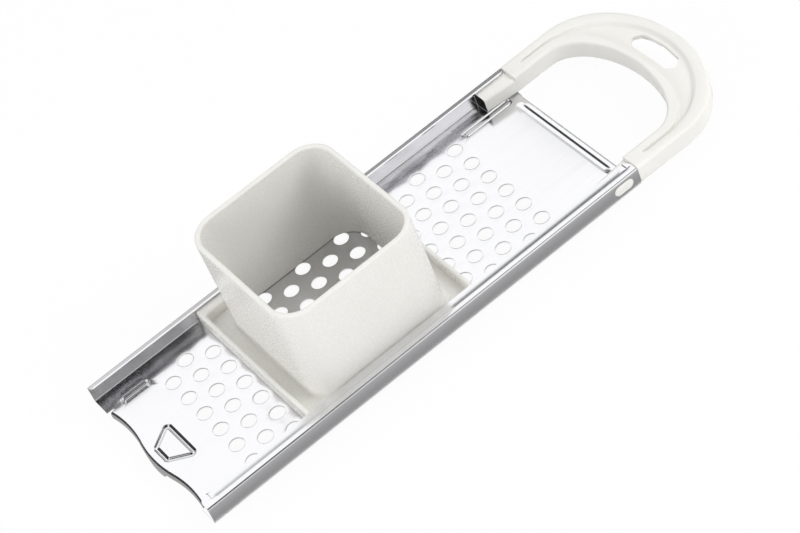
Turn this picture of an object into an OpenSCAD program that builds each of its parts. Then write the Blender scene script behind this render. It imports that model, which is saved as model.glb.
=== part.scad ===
// Sliding spaetzle maker: a punched steel plate with two folded rails, a plastic
// hopper that slides along them, and a loop handle snapped into the plate's rear end.
// Built with X along the slide, the front end of the plate at 0 and the top of the
// bed at Z 0, then moved so that the origin is the middle of the bounding box's foot.

/* [Plate] */
// Length of the plate along the slide
plate_l = 260; // [240:1:300]
// Width of the plate over its two side walls
plate_w = 108; // [106:0.5:112]
// Thickness of the sheet steel
sheet_t = 0.6; // [0.5:0.05:0.8]
// Outer radius of the folds between bed, walls and lips
fold_r = 1.2; // [1:0.1:1.6]
// Height of the rails' top above the bed
rail_h = 10.3; // [9:0.1:13]
// Width of the far rail's lip
far_lip_w = 4; // [3:0.1:5]
// Width of the near rail's lip
near_lip_w = 8.3; // [7:0.1:9]
// Distance of the near lip's crease from the outside of its wall
crease_in = 4; // [3:0.1:5]
// Depth of the strip that is pressed into the near lip
crease_d = 0.4; // [0.2:0.05:0.6]
// Distance of the pressed strip from the front end
crease_front = 5; // [4.5:0.1:8]
// Distance of the pressed strip from the rear end
crease_rear = 3; // [2:0.1:6]
// Corner radius of the far lip's ends
far_corner_r = 2.7; // [1.5:0.05:2.75]
// Corner radius of the near lip's ends
near_corner_r = 4.2; // [3:0.1:5]
// Diameter of the holes in the bed
hole_d = 8; // [5:0.1:9]
// Distance between neighbouring holes
hole_pitch = 14; // [13:0.1:14.5]
// Number of rows of holes along the slide
hole_cols = 16; // [8:1:16]
// Number of holes in each row across the bed
hole_rows = 6; // [4:1:6]
// Distance of the first row of holes from the front end
hole_start = 33; // [32:0.1:36]

/* [Front flange] */
// Width of the turned-down front edge
flange_w = 84; // [76:0.5:86]
// Distance of the deepest point of each scallop from the front end
scallop_in = 4; // [3.5:0.1:6]
// Distance of each scallop from the middle of the plate
scallop_y = 28; // [24:0.5:30]
// How far the middle of the edge stands forward of the scallops
bump_out = 3; // [2:0.1:3.4]
// Height of the turned-down edge
flange_h = 4; // [3:0.1:6]
// Outer radius of the bend at the flanges
flange_r = 1.6; // [1.2:0.1:2]
// Depth of the middle tongue below the bed
tongue_h = 8.5; // [7:0.1:12]
// Width of the tongue where it leaves the flange
tongue_w = 18; // [14:0.5:22]
// Width of the tongue at its tip
tongue_tip_w = 10; // [8:0.5:12]
// Corner radius at the tongue's tip
tongue_r = 2.2; // [1:0.1:3]
// Height of the turned-down rear edge
rear_flange_h = 3.4; // [2.5:0.1:5]
// Width of the turned-down rear edge
rear_flange_w = 80; // [70:0.5:82]

/* [Pressed beads] */
// Depth of the pressed beads
bead_d = 0.7; // [0.4:0.05:1]
// Distance of the tapered bead ring from the front end
ring_front = 3.4; // [3.2:0.1:4]
// Length of the tapered bead ring
ring_l = 14.6; // [13:0.1:17]
// Width of the bead ring's front side
ring_front_w = 14.4; // [13:0.1:17]
// Width of the bead ring's rear side
ring_rear_w = 26.4; // [24:0.1:29]
// Width of the ring's groove
ring_groove_w = 2.8; // [2:0.1:3.2]
// Width of the slot-shaped bead rings
slot_w = 4.8; // [4:0.1:6]
// Width of the groove in the slot-shaped rings
slot_groove_w = 1.4; // [1:0.1:1.7]
// Distance of the slot-shaped rings from the middle of the plate
slot_y = 42; // [41:0.1:43]
// Length of the front slot-shaped rings
slot_front_l = 17; // [12:0.5:18]
// Distance of the front slot-shaped rings from the front end
slot_front = 8.6; // [8:0.1:11]
// Length of the rear slot-shaped rings
slot_rear_l = 31.4; // [25:0.1:32]
// Distance of the rear slot-shaped rings from the rear end
slot_rear = 5.7; // [5:0.1:7]
// Width of the straight bead across the rear end
rear_bead_w = 4.1; // [3:0.1:5]
// Distance of the rear bead from the rear end
rear_bead_in = 3; // [2.5:0.1:5]
// Length of the rear bead
rear_bead_l = 75; // [60:1:76]

/* [Hopper] */
// Distance of the hopper's middle from the front end of the plate
hopper_at = 113.8; // [80:0.1:150]
// Length of the hopper's tray along the slide
tray_l = 100.7; // [96:0.1:110]
// Thickness of the tray's floor
tray_floor = 2.8; // [2:0.1:4]
// Thickness of the tray's front and rear rims
tray_rim_w = 2.5; // [2:0.1:4]
// Width of the runners on the tray's two sides
runner_w = 7.6; // [6:0.1:8]
// Corner radius of the tray
tray_corner_r = 3.2; // [2.5:0.1:5]
// Corner radius of the troughs inside the tray's rims
trough_r = 2.6; // [2:0.1:4]
// Gap between the tray and the plate's walls on each side
side_gap = 0.5; // [0.2:0.05:0.8]
// Gap between the tray and the bed
bed_gap = 0.2; // [0.1:0.05:0.4]
// Gap between the tray's rim and the lips above it
lip_gap = 0.2; // [0.1:0.05:0.4]
// Length of the hopper's box along the slide
box_l = 80.2; // [70:0.1:84]
// Width of the hopper's box across the slide
box_w = 87.7; // [80:0.1:88]
// Height of the box's rim above the bed
box_h = 62.9; // [45:0.1:80]
// Outer corner radius of the box
box_r = 15.4; // [10:0.1:20]
// Thickness of the box's wall at its rim
box_wall = 2.8; // [2.5:0.1:3.5]
// Thickness of the box's wall at its foot
box_foot_wall = 2.2; // [1.8:0.1:2.4]
// Radius of the rounded edges along the rims
rim_r = 1.1; // [0.6:0.05:1.2]
// Radius of the fillet round the box's foot
foot_r = 2.2; // [1:0.1:3]

/* [Handle] */
// Thickness of the handle
handle_h = 11; // [10:0.1:14]
// Straight length of the handle's outer side behind the plate
side_outer_l = 32; // [26:0.5:40]
// Straight length of the handle's inner side behind the plate
side_inner_l = 22; // [18:0.5:26]
// How far the outer curve reaches beyond its straight sides
bow_outer = 39; // [34:0.5:46]
// How far the inner curve reaches beyond its straight sides
bow_inner = 23; // [19:0.5:28]
// How far the handle stands out beyond the plate's side walls
handle_over = 0.4; // [0:0.1:1]
// Width of the handle's sides
side_w = 12.1; // [11.4:0.1:13]
// Distance of the groove's tips from the plate's rear end
groove_at = 10; // [6:0.5:14]
// Width of the groove between the rims along the sides
groove_w = 1.8; // [1.2:0.1:2.2]
// Width of the outer rim at the handle's apex
rim_outer_w = 4.8; // [4:0.1:6]
// Width of the inner rim at the handle's apex
rim_inner_w = 3.2; // [2.8:0.1:4]
// Fullness of the inner rim's corners
rim_fullness = 2.4; // [2:0.05:2.6]
// Depth of the web below the rims on the upper face
web_d = 2.4; // [1.8:0.1:3.4]
// Depth of the web below the rims on the underside
web_under = 6; // [3:0.1:6]
// Radius of the handle's rounded edges
handle_r = 1.7; // [1:0.1:2]
// Length of the legs that lie inside the rails
leg_l = 18.5; // [16:0.1:24]
// Width of the legs at their front ends
leg_w = 9.3; // [8:0.1:9.6]
// Gap between the legs and the wall beside them
leg_gap = 0.1; // [0.05:0.05:0.2]
// Chamfer along the legs' outer edges
leg_chamfer = 0.9; // [0.8:0.1:1.4]
// Distance between the handle's shoulders and the plate's rear end
shoulder_gap = 0.2; // [0.1:0.05:0.4]
// Distance of the snap bosses from the plate's rear end
boss_in = 9.5; // [8:0.1:11]
// Length of the snap bosses
boss_l = 11.2; // [8:0.1:12]
// Height of the snap bosses
boss_h = 5.5; // [4:0.1:6]
// Gap between the snap bosses and their holes in the walls
boss_gap = 0.2; // [0.1:0.05:0.4]
// Width of the hanging hole across the handle
hang_w = 32; // [26:0.5:34]
// Width of the hanging hole along the handle
hang_l = 10.4; // [8:0.1:11]
// Distance of the hanging hole from the inner edge of the handle
hang_in = 7.2; // [6:0.1:8]

/* [Hidden] */
$fa = 3;
$fs = 0.5;
eps = 0.01;
half_w = plate_w / 2;
lip_under = rail_h - sheet_t;
strip_under = lip_under - crease_d;
// Rows of the close-packed hole pattern
col_pitch = hole_pitch * sin(60);
// Front edge of the plate: two scallop arcs and the middle bump have one radius and
// touch half way between the scallop's deepest point and the middle
arc_r = (scallop_y * scallop_y + bump_out * bump_out) / (4 * bump_out);
bump_x = scallop_in - bump_out;
// How far the flange's skin laps into the bed
edge_lap = 0.4;
// Places across the plate at which the front edge is drawn, closer at the tongue
edge_ys = concat(
    [for (k = [0:9]) -flange_w / 2 + k * (flange_w - tongue_w) / 20],
    [for (k = [-8:8]) tongue_w / 2 * sin(k * 90 / 8)],
    [for (k = [9:-1:0]) flange_w / 2 - k * (flange_w - tongue_w) / 20]
);
// Extent of the whole object along the slide, and so its middle
front_x = bump_x - flange_r;
apex_x = plate_l + shoulder_gap + side_outer_l + bow_outer;
mid_x = (front_x + apex_x) / 2;
// Hopper
tray_half = half_w - sheet_t - side_gap;
tray_top = strip_under - lip_gap;
floor_top = bed_gap + tray_floor;
// Handle
outer_y = half_w + handle_over;
inner_y = outer_y - side_w;
leg_top = strip_under - leg_gap;
leg_out = half_w - sheet_t - leg_gap;
shoulder_x = plate_l + shoulder_gap;
boss_z = handle_h / 2 - handle_over;
inner_apex = side_inner_l + bow_inner;
groove_mid = outer_y - side_w / 2;

// A convex outline with every corner rounded by r, n steps to a corner
function rounded(pts, r, n = 8) = [
    for (i = [0:len(pts) - 1])
        let (
            p = pts[i],
            a = pts[(i + len(pts) - 1) % len(pts)] - p,
            b = pts[(i + 1) % len(pts)] - p,
            ua = a / norm(a),
            ub = b / norm(b),
            half = acos(ua * ub) / 2,
            c = p + (ua + ub) / norm(ua + ub) * r / sin(half),
            from = p + ua * r / tan(half) - c,
            to = p + ub * r / tan(half) - c,
            a0 = atan2(from[1], from[0]),
            raw = atan2(to[1], to[0]) - a0,
            turn = raw > 180 ? raw - 360 : raw < -180 ? raw + 360 : raw
        )
            for (k = [0:n]) c + r * [cos(a0 + turn * k / n), sin(a0 + turn * k / n)]
];

// A flat outline with round ends, l over all and w wide, along X
module stadium(l, w) {
    translate([w / 2 - l / 2, -w / 2]) square([l - w, w]);
    for (s = [-1, 1]) translate([s * (l - w) / 2, 0]) circle(d = w);
}

// A profile carried round a rounded rectangle: x counts outwards from its outline
module ring(half_x, half_y, r) {
    for (s = [0, 1]) rotate([0, 0, s * 180]) {
        translate([half_x - r, half_y - r, 0])
            rotate_extrude(angle = 90) translate([r, 0]) children();
        translate([-half_x + r, half_y - r, 0])
            rotate([0, 0, 90]) rotate_extrude(angle = 90) translate([r, 0]) children();
        translate([half_x, half_y - r, 0]) rotate([90, 0, 0])
            linear_extrude(2 * (half_y - r)) children();
        translate([-half_x + r, half_y, 0]) rotate([90, 0, 90])
            linear_extrude(2 * (half_x - r)) children();
    }
}

// A rounded rectangle of half sizes, as a flat outline
module round_rect(half_x, half_y, r) {
    square([2 * half_x, 2 * (half_y - r)], center = true);
    square([2 * (half_x - r), 2 * half_y], center = true);
    for (sx = [-1, 1], sy = [-1, 1])
        translate([sx * (half_x - r), sy * (half_y - r)]) circle(r);
}

// The corner left when a square edge is rounded: its point is at 0, 0
module edge_waste(r) {
    difference() {
        translate([-r, -r]) square(r + eps);
        translate([-r, -r]) circle(r);
    }
}

// One quarter of a fold in the sheet, its centre at 0, 0, towards +X and +Y
module fold(r = fold_r) {
    intersection() {
        difference() {
            circle(r);
            circle(r - sheet_t);
        }
        square(r);
    }
}

// Half of the sheet's cross-section, from the middle to a side with a lip lip_w wide
module half_section(lip_w) {
    translate([0, -sheet_t]) square([half_w - fold_r, sheet_t]);
    translate([half_w - fold_r, fold_r - sheet_t]) mirror([0, 1]) fold();
    translate([half_w - sheet_t, fold_r - sheet_t])
        square([sheet_t, rail_h - 2 * fold_r + sheet_t]);
    translate([half_w - fold_r, rail_h - fold_r]) fold();
    translate([half_w - lip_w, lip_under]) square([lip_w - fold_r, sheet_t]);
}

// The square corners at both ends of a lip on the +Y side that are rounded away
module lip_corner_waste(lip_w, r) {
    for (end = [0, 1])
        translate([end * plate_l, half_w - lip_w, lip_under - crease_d - eps])
            linear_extrude(sheet_t + crease_d + 2 * eps)
                mirror([end, 0]) difference() {
                    translate([-1, -1]) square(r + 1);
                    translate([r, r]) circle(r);
                }
}

// The flange's section: a quarter bend and the skirt below it, the bed's end at 0, 0
module flange_section(h) {
    translate([0, -flange_r]) fold(flange_r);
    translate([flange_r - sheet_t, -h]) square([sheet_t, h - flange_r]);
}

// Front edge of the bed at y across the plate, and its direction forwards, d outwards
function edge_x(y) = abs(y) < scallop_y / 2
    ? bump_x + arc_r - sqrt(arc_r * arc_r - y * y)
    : scallop_in - arc_r + sqrt(arc_r * arc_r - pow(abs(y) - scallop_y, 2));
function edge_centre(y) = abs(y) < scallop_y / 2
    ? [bump_x + arc_r, 0] : [scallop_in - arc_r, sign(y) * scallop_y];
function edge_point(y, d = 0) = let (p = [edge_x(y), y], v = p - edge_centre(y))
    p + d * v / norm(v) * (abs(y) < scallop_y / 2 ? 1 : -1);

// Points of the flange's section as [distance forwards, height], lapping into the bed
// and standing out a hair from both its faces, so that the two solids cross cleanly
function flange_points(h, lap) = let (inner = flange_r - sheet_t - 2 * eps) concat(
    [[-lap, eps]],
    [for (k = [0:6]) flange_r * [sin(k * 15), cos(k * 15) - 1] + [0, eps]],
    [[flange_r, -h], [inner, -h]],
    [for (k = [6:-1:0]) inner * [sin(k * 15), cos(k * 15)] - [0, flange_r - eps]],
    [[-lap, -sheet_t - eps]]
);

// A closed skin over rows of points, each row one section that runs clockwise as
// seen from the rows before it, out along one face and back along the other
module skin(rows) {
    m = len(rows[0]);
    end = (len(rows) - 1) * m;
    cap = [for (j = [0:m / 2 - 2]) each [[j, j + 1, m - 1 - j], [j + 1, m - 2 - j, m - 1 - j]]];
    polyhedron(
        points = [for (row = rows, p = row) p],
        faces = concat(
            cap,
            [for (f = cap) [end + f[0], end + f[2], end + f[1]]],
            [for (i = [0:m:end - 1], j = [0:m - 1]) let (k = (j + 1) % m) each [
                [i + j, i + m + k, i + k], [i + j, i + m + j, i + m + k]]]
        ),
        convexity = 8
    );
}

// Height of the flange's lower edge at y: the middle tongue narrows to a rounded tip
function skirt_h(y) = let (
        side = tongue_w / 2 - abs(y),
        slope = (tongue_w - tongue_tip_w) / 2,
        full = tongue_h - flange_h,
        r = min(tongue_r, slope),
        share = min(max(side / slope, 0), 1)
    ) flange_h + full * (side < slope ? share : 1)
        - (side > 0 ? r * pow(max(1 - abs(side - slope) / r, 0), 2) / 4 : 0);

// The turned-down front edge with its two scallops, the middle bump and the tongue
module front_flange() {
    skin([for (y = edge_ys) [for (q = flange_points(skirt_h(y), edge_lap))
        let (e = edge_point(-y, q[0])) [e[0], e[1], q[1]]]]);
}

// What is cut off the bed in front of its scalloped edge, in plan
module front_waste() {
    polygon(concat([[-1, -flange_w / 2]], [for (y = edge_ys) edge_point(y, -edge_lap / 2)],
        [[-1, flange_w / 2]]));
}

// Outline of the tapered bead ring, drawn in by d on every side
module tapered(d) {
    translate([ring_front, 0]) polygon(rounded([
        [d, d - ring_front_w / 2], [d, ring_front_w / 2 - d],
        [ring_l - d, ring_rear_w / 2 - d], [ring_l - d, d - ring_rear_w / 2]],
        max(2.6 - d, 0.6)));
}

// Every pressed bead in plan: its groove, or with grow > 0 the swelling on the underside
module beads(grow = 0) {
    difference() {
        tapered(-grow);
        tapered(ring_groove_w + grow);
    }
    for (s = [-1, 1]) {
        translate([slot_front + slot_front_l / 2, s * slot_y]) difference() {
            stadium(slot_front_l + 2 * grow, slot_w + 2 * grow);
            stadium(slot_front_l - 2 * slot_groove_w, slot_w - 2 * slot_groove_w - grow);
        }
        translate([plate_l - slot_rear - slot_rear_l / 2, s * slot_y]) difference() {
            stadium(slot_rear_l + 2 * grow, slot_w + 2 * grow);
            stadium(slot_rear_l - 2 * slot_groove_w, slot_w - 2 * slot_groove_w - grow);
        }
    }
    translate([plate_l - rear_bead_in - rear_bead_w / 2, 0]) rotate(90)
        stadium(rear_bead_l + 2 * grow, rear_bead_w + 2 * grow);
}

// Centres of the holes, every second row shifted by half a pitch
module at_holes() {
    for (i = [0:hole_cols - 1], k = [0:hole_rows - 1])
        translate([hole_start + i * col_pitch,
            (k - (hole_rows - 1) / 2) * hole_pitch + (i % 2 == 0 ? -1 : 1) * hole_pitch / 4, 0])
            children();
}

// Stands a shape upright in both side walls, at the snap bosses
module at_bosses(y, depth) {
    for (s = [-1, 1]) translate([plate_l - boss_in, s * y, boss_z])
        rotate([90, 0, 0]) linear_extrude(depth, center = true) children();
}

module grater_plate() {
    color("#d9dadb") translate([-mid_x, 0, tongue_h]) {
        difference() {
            union() {
                rotate([90, 0, 90]) linear_extrude(plate_l) {
                    half_section(far_lip_w);
                    mirror([1, 0]) half_section(near_lip_w);
                }
                // The near lip's pressed strip reaches deeper than the lip
                translate([crease_front - sheet_t, -half_w + crease_in - sheet_t, strip_under])
                    cube([plate_l - crease_front - crease_rear + 2 * sheet_t,
                        near_lip_w - crease_in + sheet_t, crease_d + eps]);
                // Swellings of the pressed beads under the bed
                translate([0, 0, -sheet_t - bead_d]) linear_extrude(bead_d + eps)
                    beads(sheet_t / 2);
            }
            translate([crease_front, -half_w + crease_in, rail_h - crease_d])
                cube([plate_l - crease_front - crease_rear, near_lip_w, crease_d + 1]);
            lip_corner_waste(far_lip_w, far_corner_r);
            mirror([0, 1, 0]) lip_corner_waste(near_lip_w, near_corner_r);
            translate([0, 0, -bead_d]) linear_extrude(bead_d + 1) beads();
            translate([0, 0, -1]) linear_extrude(2) front_waste();
            // Relief cuts where the front and rear flanges end
            for (s = [-1, 1]) translate([-eps, s * flange_w / 2, -1])
                linear_extrude(2) stadium(2 * scallop_in, 1.2);
            translate([plate_l - flange_r, -rear_flange_w / 2, -1])
                cube([flange_r + 1, rear_flange_w, 2]);
            translate([0, 0, -sheet_t - 1]) linear_extrude(sheet_t + 2)
                at_holes() circle(d = hole_d);
            at_bosses(half_w - sheet_t / 2, 2 * sheet_t)
                stadium(boss_l + 2 * boss_gap, boss_h + 2 * boss_gap);
        }
        front_flange();
        translate([plate_l - flange_r, rear_flange_w / 2, 0]) rotate([90, 0, 0])
            linear_extrude(rear_flange_w) flange_section(rear_flange_h);
    }
}

// Section of the box's wall: a draughted inside, a rounded rim and a foot fillet
module wall_section() {
    polygon([[-box_foot_wall, bed_gap], [0, bed_gap], [0, box_h - rim_r],
        [-box_wall, box_h - rim_r]]);
    for (x = [-rim_r, rim_r - box_wall]) translate([x, box_h - rim_r]) circle(rim_r);
    translate([rim_r - box_wall, box_h - rim_r]) square([box_wall - 2 * rim_r, rim_r]);
    translate([0, floor_top - eps]) difference() {
        translate([-eps, 0]) square([foot_r + eps, foot_r + eps]);
        translate([foot_r, foot_r + eps]) circle(foot_r);
    }
}

module hopper() {
    trough_x = tray_l / 2 - tray_rim_w;
    trough_y = tray_half - runner_w;
    color("#f1f1ef") translate([hopper_at - mid_x, 0, tongue_h]) {
        difference() {
            translate([0, 0, bed_gap]) linear_extrude(tray_top - bed_gap)
                round_rect(tray_l / 2, tray_half, tray_corner_r);
            // Troughs in front of the box and behind it, inside the rims and runners
            translate([0, 0, floor_top]) linear_extrude(tray_top)
                round_rect(trough_x, trough_y, trough_r);
            // The dough falls through the open foot of the box
            linear_extrude(tray_top + 1)
                round_rect(box_l / 2 - box_foot_wall, box_w / 2 - box_foot_wall,
                    box_r - box_foot_wall);
            translate([0, 0, tray_top]) {
                ring(tray_l / 2, tray_half, tray_corner_r) edge_waste(rim_r);
                ring(trough_x, trough_y, trough_r) mirror([1, 0]) edge_waste(rim_r);
            }
        }
        ring(box_l / 2, box_w / 2, box_r) wall_section();
    }
}

// Points of the handle's plan at station t: 0 at the far shoulder, 1 to 2 round the
// bow and 3 at the near shoulder. Each gives the outer edge, the outer rim's inner
// edge, the inner rim's outer edge and the inner edge.
function bow_a(t) = 180 * (t < 1 ? 0 : t > 2 ? 1 : t - 1);
function run(t) = t < 1 ? t : t > 2 ? 3 - t : 1;
function power(v, n) = sign(v) * pow(abs(v), 2 / n);
function at_station(t, side_l, bow, half, n) =
    [run(t) * side_l + bow * power(sin(bow_a(t)), n), half * power(cos(bow_a(t)), n)];
function plan(t) = [
    at_station(t, side_outer_l, bow_outer, outer_y, 2),
    at_station(t, side_outer_l * 0.75,
        side_outer_l * 0.25 + bow_outer - rim_outer_w, groove_mid + groove_w / 2, 2),
    at_station(t, side_inner_l - 1, bow_inner + 1 + rim_inner_w,
        groove_mid - groove_w / 2, rim_fullness),
    at_station(t, side_inner_l, bow_inner, inner_y, 2)
];
// How deep the web lies at station t, as a share: the groove starts behind the shoulder
function sink(t) = let (x = run(t) * side_outer_l * 0.75)
    min(max((x - groove_at + 1) / 2, 0), 1);
// One rim from its edge a to b over the handle's face, as [point in plan, height] pairs
function rim_top(a, b, deep) = let (
        u = (b - a) / norm(b - a),
        r = handle_r,
        q = min(handle_r, norm(b - a) / 2.4) * 0.6
    ) [
        for (k = [0:4]) [a + u * r * (1 - cos(k * 22.5)), handle_h - r + r * sin(k * 22.5)],
        for (k = [0:3]) [b - u * q * (1 - sin(k * 30)), handle_h - q * (1 - cos(k * 30)) * deep]
    ];
function flip(pairs) = [for (i = [len(pairs) - 1:-1:0]) pairs[i]];
// One face of the section from the outer edge to the inner, its web lying deep below
function face(t, deep) = let (p = plan(t), s = sink(t)) concat(
        rim_top(p[0], p[1], s),
        [[p[1] + (p[2] - p[1]) * 0.12, handle_h - deep * s],
         [p[2] + (p[1] - p[2]) * 0.12, handle_h - deep * s]],
        flip(rim_top(p[3], p[2], s))
    );
function section(t) = concat(
        [for (q = face(t, web_d)) [q[0][0], q[0][1], q[1]]],
        [for (q = flip(face(t, web_under))) [q[0][0], q[0][1], handle_h - q[1]]]
    );

// The bow with its sides: one section carried from shoulder to shoulder
module bow() {
    stations = concat([0, 0.28, 0.36, 0.42, 0.5, 0.7], [for (i = [0:40]) 1 + i / 40],
        [2.3, 2.5, 2.58, 2.64, 2.72, 3]);
    skin([for (t = stations) section(t)]);
}

// The hanging hole in plan: straight towards the plate and bowed towards the apex
module hang_outline() {
    polygon(rounded([
        [0, -hang_w * 0.42], [hang_l * 0.36, -hang_w * 0.54],
        [hang_l * 0.87, -hang_w * 0.42], [hang_l * 1.02, 0], [hang_l * 0.87, hang_w * 0.42],
        [hang_l * 0.36, hang_w * 0.54], [0, hang_w * 0.42]], 2.2));
}

module handle() {
    color("#efefec") translate([-mid_x, 0, tongue_h]) {
        difference() {
            translate([shoulder_x, 0, 0]) bow();
            translate([shoulder_x + inner_apex + hang_in, 0, -1])
                linear_extrude(handle_h + 2) hang_outline();
        }
        // Legs that lie in the rails' ends, flush with the sides and narrower in front
        for (s = [0, 1]) mirror([0, s, 0]) intersection() {
            translate([plate_l - leg_l, 0, 0]) rotate([90, 0, 90])
                linear_extrude(leg_l + shoulder_gap + 1)
                    polygon([[inner_y, 0], [leg_out - leg_chamfer, 0],
                        [leg_out, leg_chamfer], [leg_out, leg_top - leg_chamfer],
                        [leg_out - leg_chamfer, leg_top], [inner_y, leg_top]]);
            translate([0, 0, -1]) linear_extrude(leg_top + 2)
                polygon([[plate_l - leg_l - 1, leg_out - leg_w], [shoulder_x, inner_y + eps],
                    [shoulder_x + 2, inner_y + eps], [shoulder_x + 2, half_w],
                    [plate_l - leg_l - 1, half_w]]);
        }
        at_bosses((leg_out - 1 + half_w) / 2, half_w - leg_out + 1) stadium(boss_l, boss_h);
    }
}

grater_plate();
hopper();
handle();
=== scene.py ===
"""Looks of a sliding spaetzle maker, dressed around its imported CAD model.

Shapes are worked out in millimetres in the maker's own frame: x along the slide from
the plate's front end, y across it, z up from the top face of the bed. When a mesh is
made it is moved to the shared frame, in metres.
"""

import logging
import math
from dataclasses import dataclass, field
from enum import Enum

import bpy
import numpy as np
from mathutils import Matrix, Vector
from mathutils.geometry import delaunay_2d_cdt


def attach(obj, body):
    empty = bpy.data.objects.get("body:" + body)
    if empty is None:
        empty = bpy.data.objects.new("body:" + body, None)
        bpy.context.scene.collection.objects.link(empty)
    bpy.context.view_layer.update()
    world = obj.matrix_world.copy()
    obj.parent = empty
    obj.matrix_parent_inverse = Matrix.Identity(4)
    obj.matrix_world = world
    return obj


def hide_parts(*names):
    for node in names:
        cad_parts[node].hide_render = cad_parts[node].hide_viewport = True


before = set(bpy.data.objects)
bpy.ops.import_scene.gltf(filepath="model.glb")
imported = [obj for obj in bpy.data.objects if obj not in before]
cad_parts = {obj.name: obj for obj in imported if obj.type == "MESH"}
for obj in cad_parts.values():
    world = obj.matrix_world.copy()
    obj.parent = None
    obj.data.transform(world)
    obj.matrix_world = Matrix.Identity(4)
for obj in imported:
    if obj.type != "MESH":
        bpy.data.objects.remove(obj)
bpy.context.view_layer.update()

LOG = logging.getLogger("spaetzle_maker")
Array = np.ndarray
Faces = list[list[int]]
Triple = tuple[float, float, float]


class Body(Enum):
    """The two bodies that a piece can ride on."""

    BASE = "base"
    HOPPER = "hopper"


@dataclass(frozen=True)
class MakerFrame:
    """Where the maker's own frame lies in the shared frame, in millimetres."""

    middle_x: float = 165.3
    bed_height: float = 8.5

    def to_metres(self, points: Array) -> Array:
        """Moves points of the maker's own frame to the shared frame, in metres."""
        return (points + np.array([-self.middle_x, 0.0, self.bed_height])) / 1000.0

    def to_millimetres(self, points: Array) -> Array:
        """Moves points of the shared frame, in metres, to the maker's own frame."""
        return points * 1000 - [-self.middle_x, 0, self.bed_height]


PLACE = MakerFrame()


# Meshes ------------------------------------------------------------------------------


def make_piece(name: str, points: Array, faces: Faces, sharp: float = 35.0) -> bpy.types.Object:
    """Makes one mesh object of points and faces, smooth but for its sharp edges.

    Args:
        name: name of the piece.
        points: its vertices in millimetres, in the maker's own frame.
        faces: vertex numbers of each face, counter-clockwise as seen from outside.
        sharp: angle in degrees over which an edge between two faces stays sharp.

    Returns:
        The object, at the origin and linked to the scene.
    """
    mesh = bpy.data.meshes.new(name)
    mesh.from_pydata(PLACE.to_metres(points).tolist(), [], faces)
    mesh.validate()
    mesh.shade_smooth()
    mesh.set_sharp_from_angle(angle=math.radians(sharp))
    piece = bpy.data.objects.new(name, mesh)
    bpy.context.scene.collection.objects.link(piece)
    return piece


def grid_faces(rows: int, cols: int, closed_rows: bool, closed_cols: bool) -> Array:
    """Quads of a grid of points that is stored row by row.

    Quad (i, j) joins points (i, j), (i, j + 1), (i + 1, j + 1) and (i + 1, j), and a
    closed direction wraps round from its last line to its first.

    Args:
        rows: number of rows.
        cols: number of points in a row.
        closed_rows: whether the last row joins the first.
        closed_cols: whether a row's last point joins its first.

    Returns:
        An array of four vertex numbers for each quad.
    """
    i, j = np.meshgrid(
        np.arange(rows if closed_rows else rows - 1),
        np.arange(cols if closed_cols else cols - 1),
        indexing="ij",
    )
    i, j = i.ravel(), j.ravel()
    i2, j2 = (i + 1) % rows, (j + 1) % cols
    return np.stack([i * cols + j, i * cols + j2, i2 * cols + j2, i2 * cols + j], axis=1)


def volume(points: Array, faces: Faces) -> float:
    """Signed volume of a closed mesh: the sum over its fans of a . (b x c) / 6."""
    fans = np.array([[f[0], f[k], f[k + 1]] for f in faces for k in range(1, len(f) - 1)])
    a, b, c = points[fans[:, 0]], points[fans[:, 1]], points[fans[:, 2]]
    return float(np.einsum("ij,ij->i", a, np.cross(b, c)).sum() / 6.0)


def outward(points: Array, faces: Faces) -> Faces:
    """Turns all faces over where the closed mesh they make is inside out."""
    return faces if volume(points, faces) > 0 else [face[::-1] for face in faces]


def loft(rows: Array) -> tuple[Array, Faces]:
    """Closed body through rows of points: each row is one section, its ends are capped.

    Args:
        rows: array of shape (sections, points of a section, 3).

    Returns:
        Its points, and its faces pointing outwards.
    """
    count, around = rows.shape[:2]
    points = rows.reshape(-1, 3)
    faces = grid_faces(count, around, False, True).tolist()
    faces.append(list(range(around))[::-1])
    faces.append(list(range((count - 1) * around, count * around)))
    return points, outward(points, faces)


def joined(*parts: tuple[Array, Faces]) -> tuple[Array, Faces]:
    """Puts several bodies of points and faces into one list of each."""
    points, faces, start = [], [], 0
    for part_points, part_faces in parts:
        points.append(part_points)
        faces += [[start + v for v in face] for face in part_faces]
        start += len(part_points)
    return np.concatenate(points), faces


def smooth_step(value: Array) -> Array:
    """Rises from 0 to 1 as value goes from 0 to 1, level at both ends: 3 v^2 - 2 v^3."""
    v = np.clip(value, 0.0, 1.0)
    return v * v * (3.0 - 2.0 * v)


def arc(count: int, start: float, end: float) -> tuple[Array, Array]:
    """Cosine and sine at count angles from start to end, in degrees."""
    angle = np.radians(np.linspace(start, end, count))
    return np.cos(angle), np.sin(angle)


# Materials ---------------------------------------------------------------------------


def linear(code: str) -> tuple[float, float, float, float]:
    """Turns an sRGB hex colour such as #d9dadb to linear red, green, blue and alpha."""
    value = np.array([int(code[k : k + 2], 16) for k in (1, 3, 5)]) / 255.0
    value = np.where(value <= 0.04045, value / 12.92, ((value + 0.055) / 1.055) ** 2.4)
    return (*value.tolist(), 1.0)


def add_node(
    tree: bpy.types.NodeTree, kind: str, settings: dict | None = None, inputs: dict | None = None
) -> bpy.types.Node:
    """Adds one node with its settings, and fills or links its inputs.

    Args:
        tree: the node tree that gets it.
        kind: the node's type, such as ShaderNodeTexNoise.
        settings: values of its own properties, by name.
        inputs: values or output sockets for its inputs, by name or number.

    Returns:
        The node.
    """
    node = tree.nodes.new(kind)
    for name, value in (settings or {}).items():
        setattr(node, name, value)
    for name, value in (inputs or {}).items():
        if isinstance(value, bpy.types.NodeSocket):
            tree.links.new(value, node.inputs[name])
        else:
            node.inputs[name].default_value = value
    return node


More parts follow.
